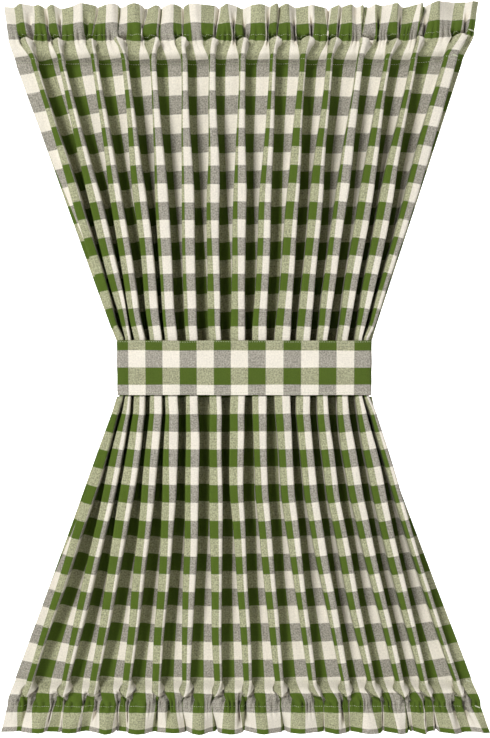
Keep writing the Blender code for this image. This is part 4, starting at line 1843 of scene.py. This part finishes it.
    def build(self, cloth: bpy.types.Material, thread: bpy.types.Material) -> bpy.types.Object:
        """Args:
            cloth: The band's gingham.
            thread: The sewing thread.

        Returns:
            The band.
        """
        path = self.path()
        points, outward = self.surface(path)
        count, size = points.shape[:2]
        closed = np.concatenate([points, points[:1]])
        lengths = np.linalg.norm(np.diff(path, axis=0, append=path[:1]), axis=1)
        rows = self.row_along(path, np.concatenate([[0.0], np.cumsum(lengths)]))
        columns = [self.first_column + (self.folds.tie_height - z) / self.column_pitch
                   for z, _ in self.profile()]
        faces = []
        for here in range(0, count * size, size):
            for part in range(size):
                after = (part + 1) % size
                there = here + size
                faces.append((here + part, there + part, there + after, here + after))
        mesh = bpy.data.meshes.new("tieback_band")
        mesh.from_pydata(closed.reshape(-1, 3).tolist(), [], faces)
        weave = mesh.uv_layers.new(name=Cloth.WEAVE_MAP)
        for loop in mesh.loops:
            station, part = divmod(loop.vertex_index, size)
            weave.data[loop.index].uv = (columns[part], rows[station])
        piece = finish_mesh(mesh, cloth)
        seams = Stitches().build("tieback_stitches", self.seam_lines(points, outward), thread, [])
        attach(piece, "root")
        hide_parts("tieback")
        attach(seams, "root")
        return piece

    def seam_lines(self, points: np.ndarray,
                   outward: np.ndarray) -> list[tuple[np.ndarray, np.ndarray]]:
        """Draw the band's two stitch lines, along its upper and its lower edge.

        Args:
            points: The band's outside, by station and height.
            outward: The normals of its stations.

        Returns:
            The points and the normals of each line.
        """
        heights = np.array([z for z, _ in self.profile()[: self.face_steps + 1]])
        lines = []
        for height in (self.folds.tie_height - self.top_seam, self.foot_seam):
            part = int(np.argmin(np.abs(heights - height)))
            line = np.concatenate([points[:, part], points[:1, part]])
            line[:, 2] += height - heights[part]
            lines.append((line, np.concatenate([outward, outward[:1]])))
        return lines


class Lamp(NamedTuple):
    """A soft area light: its place, its width and height, and its power in watts."""

    name: str
    place: tuple[float, float, float]
    size: tuple[float, float]
    power: float
    aim: tuple[float, float, float] = (0.0, 0.0, -0.45)


@dataclass
class Studio:
    """A plain white sweep, soft lights and the camera."""

    sweep_width: float = 6.0
    sweep_front: float = -4.0
    sweep_top: float = 3.0
    floor_z: float = -1.08
    wall_y: float = 1.6
    glow_y: float = 0.25            # where the glowing part of the sweep starts
    glow: float = 0.75
    bend_radius: float = 0.6
    bend_steps: int = 12
    sky: float = 0.035
    camera_y: float = -1.465
    camera_z: float = -0.5365
    lens: float = 51.2
    sensor: float = 36.0
    lamps: tuple[Lamp, ...] = (
        Lamp("key", (-2.4, -4.4, 1.4), (1.5, 1.7), 238.0),
        Lamp("fill", (1.60, -2.2, -0.25), (1.7, 2.4), 12.0),
        Lamp("wall_wash", (0.0, 0.4, 1.6), (2.6, 0.6), 30.0, (0.0, 0.2, -0.45)),
    )

    def build(self) -> None:
        """Set up the sweep, the lights, the world and the camera."""
        self.build_sweep()
        for lamp in self.lamps:
            self.add_lamp(lamp)
        self.build_world()
        self.build_camera()
        bpy.context.scene.view_settings.view_transform = "Standard"
        bpy.context.scene.view_settings.look = "None"

    def build_sweep(self) -> None:
        """Build the floor that curves up into the backdrop, which glows a little behind the curtain."""
        bend_y = self.wall_y - self.bend_radius
        profile = [(y, self.floor_z) for y in (self.sweep_front, self.glow_y, bend_y)]
        for step in range(1, self.bend_steps + 1):
            turn = math.radians(90.0 * step / self.bend_steps)
            profile.append((self.wall_y - self.bend_radius * (1.0 - math.sin(turn)),
                            self.floor_z + self.bend_radius * (1.0 - math.cos(turn))))
        profile.append((self.wall_y, self.sweep_top))
        half = self.sweep_width / 2.0
        vertices = [(side * half, y, z) for y, z in profile for side in (-1.0, 1.0)]
        faces = [(2 * i, 2 * i + 1, 2 * i + 3, 2 * i + 2) for i in range(len(profile) - 1)]
        mesh = bpy.data.meshes.new("sweep")
        mesh.from_pydata(vertices, [], faces)
        mesh.materials.append(self.paper("white_paper", 0.0))
        sweep = finish_mesh(mesh, self.paper("lit_paper", self.glow))
        mesh.polygons.foreach_set("material_index", [0] + [1] * (len(faces) - 1))

    @staticmethod
    def paper(name: str, glow: float) -> bpy.types.Material:
        """Return white paper that glows by a given strength."""
        return ShaderGraph(name).surface({
            "Base Color": (0.92, 0.92, 0.92, 1.0), "Roughness": 0.9,
            "Emission Color": WHITE, "Emission Strength": glow})

    @staticmethod
    def add_lamp(lamp: Lamp) -> None:
        """Add a soft area light.

        Args:
            lamp: The light.
        """
        light = bpy.data.lights.new(lamp.name, "AREA")
        light.shape = "RECTANGLE"
        light.size, light.size_y = lamp.size
        light.energy = lamp.power
        stand = bpy.data.objects.new(lamp.name, light)
        stand.location = lamp.place
        aim = Vector(lamp.aim) - Vector(lamp.place)
        stand.rotation_euler = aim.to_track_quat("-Z", "Y").to_euler()
        bpy.context.collection.objects.link(stand)

    def build_world(self) -> None:
        """Fill the shadows with an even white sky."""
        world = bpy.data.worlds.new("studio")
        world.use_nodes = True
        background = world.node_tree.nodes["Background"]
        background.inputs["Color"].default_value = WHITE
        background.inputs["Strength"].default_value = self.sky
        bpy.context.scene.world = world

    def build_camera(self) -> None:
        """Stand the camera square before the curtain, a little below its middle."""
        data = bpy.data.cameras.new("camera")
        data.lens = self.lens
        data.sensor_width = self.sensor
        data.shift_y = SHIFT_ROWS / PHOTO_ROWS
        camera = bpy.data.objects.new("camera", data)
        camera.location = (0.0, self.camera_y, self.camera_z)
        camera.rotation_euler = (math.radians(90.0), 0.0, 0.0)
        bpy.context.collection.objects.link(camera)
        bpy.context.scene.camera = camera


def main() -> None:
    """Build the curtain's pieces and the studio."""
    logging.basicConfig(level=logging.INFO, format="%(name)s: %(message)s")
    folds = HungFolds()
    check_cloth = Gingham().material("gingham")
    # The band's copy keeps darker sage and moss: the body's gingham has them painted lighter for the
    # brighter light on its crests.
    band_gingham = Gingham(sage=(0.340, 0.338, 0.216), moss=(0.073, 0.112, 0.016), tone=1.03)
    tie_cloth = band_gingham.material("gingham_band")
    thread = Thread().material("sewing_thread")
    heading = Heading(folds).build(check_cloth, thread)
    log.info("built %s", heading.name)
    panel = Panel(folds).build(check_cloth)
    log.info("built %s", panel.name)
    foot = Foot(folds).build(check_cloth, thread)
    log.info("built %s", foot.name)
    tieback = Tieback(folds).build(tie_cloth, thread)
    log.info("built %s", tieback.name)
    Studio().build()
    bpy.context.view_layer.update()


if __name__ == "__main__":
    main()
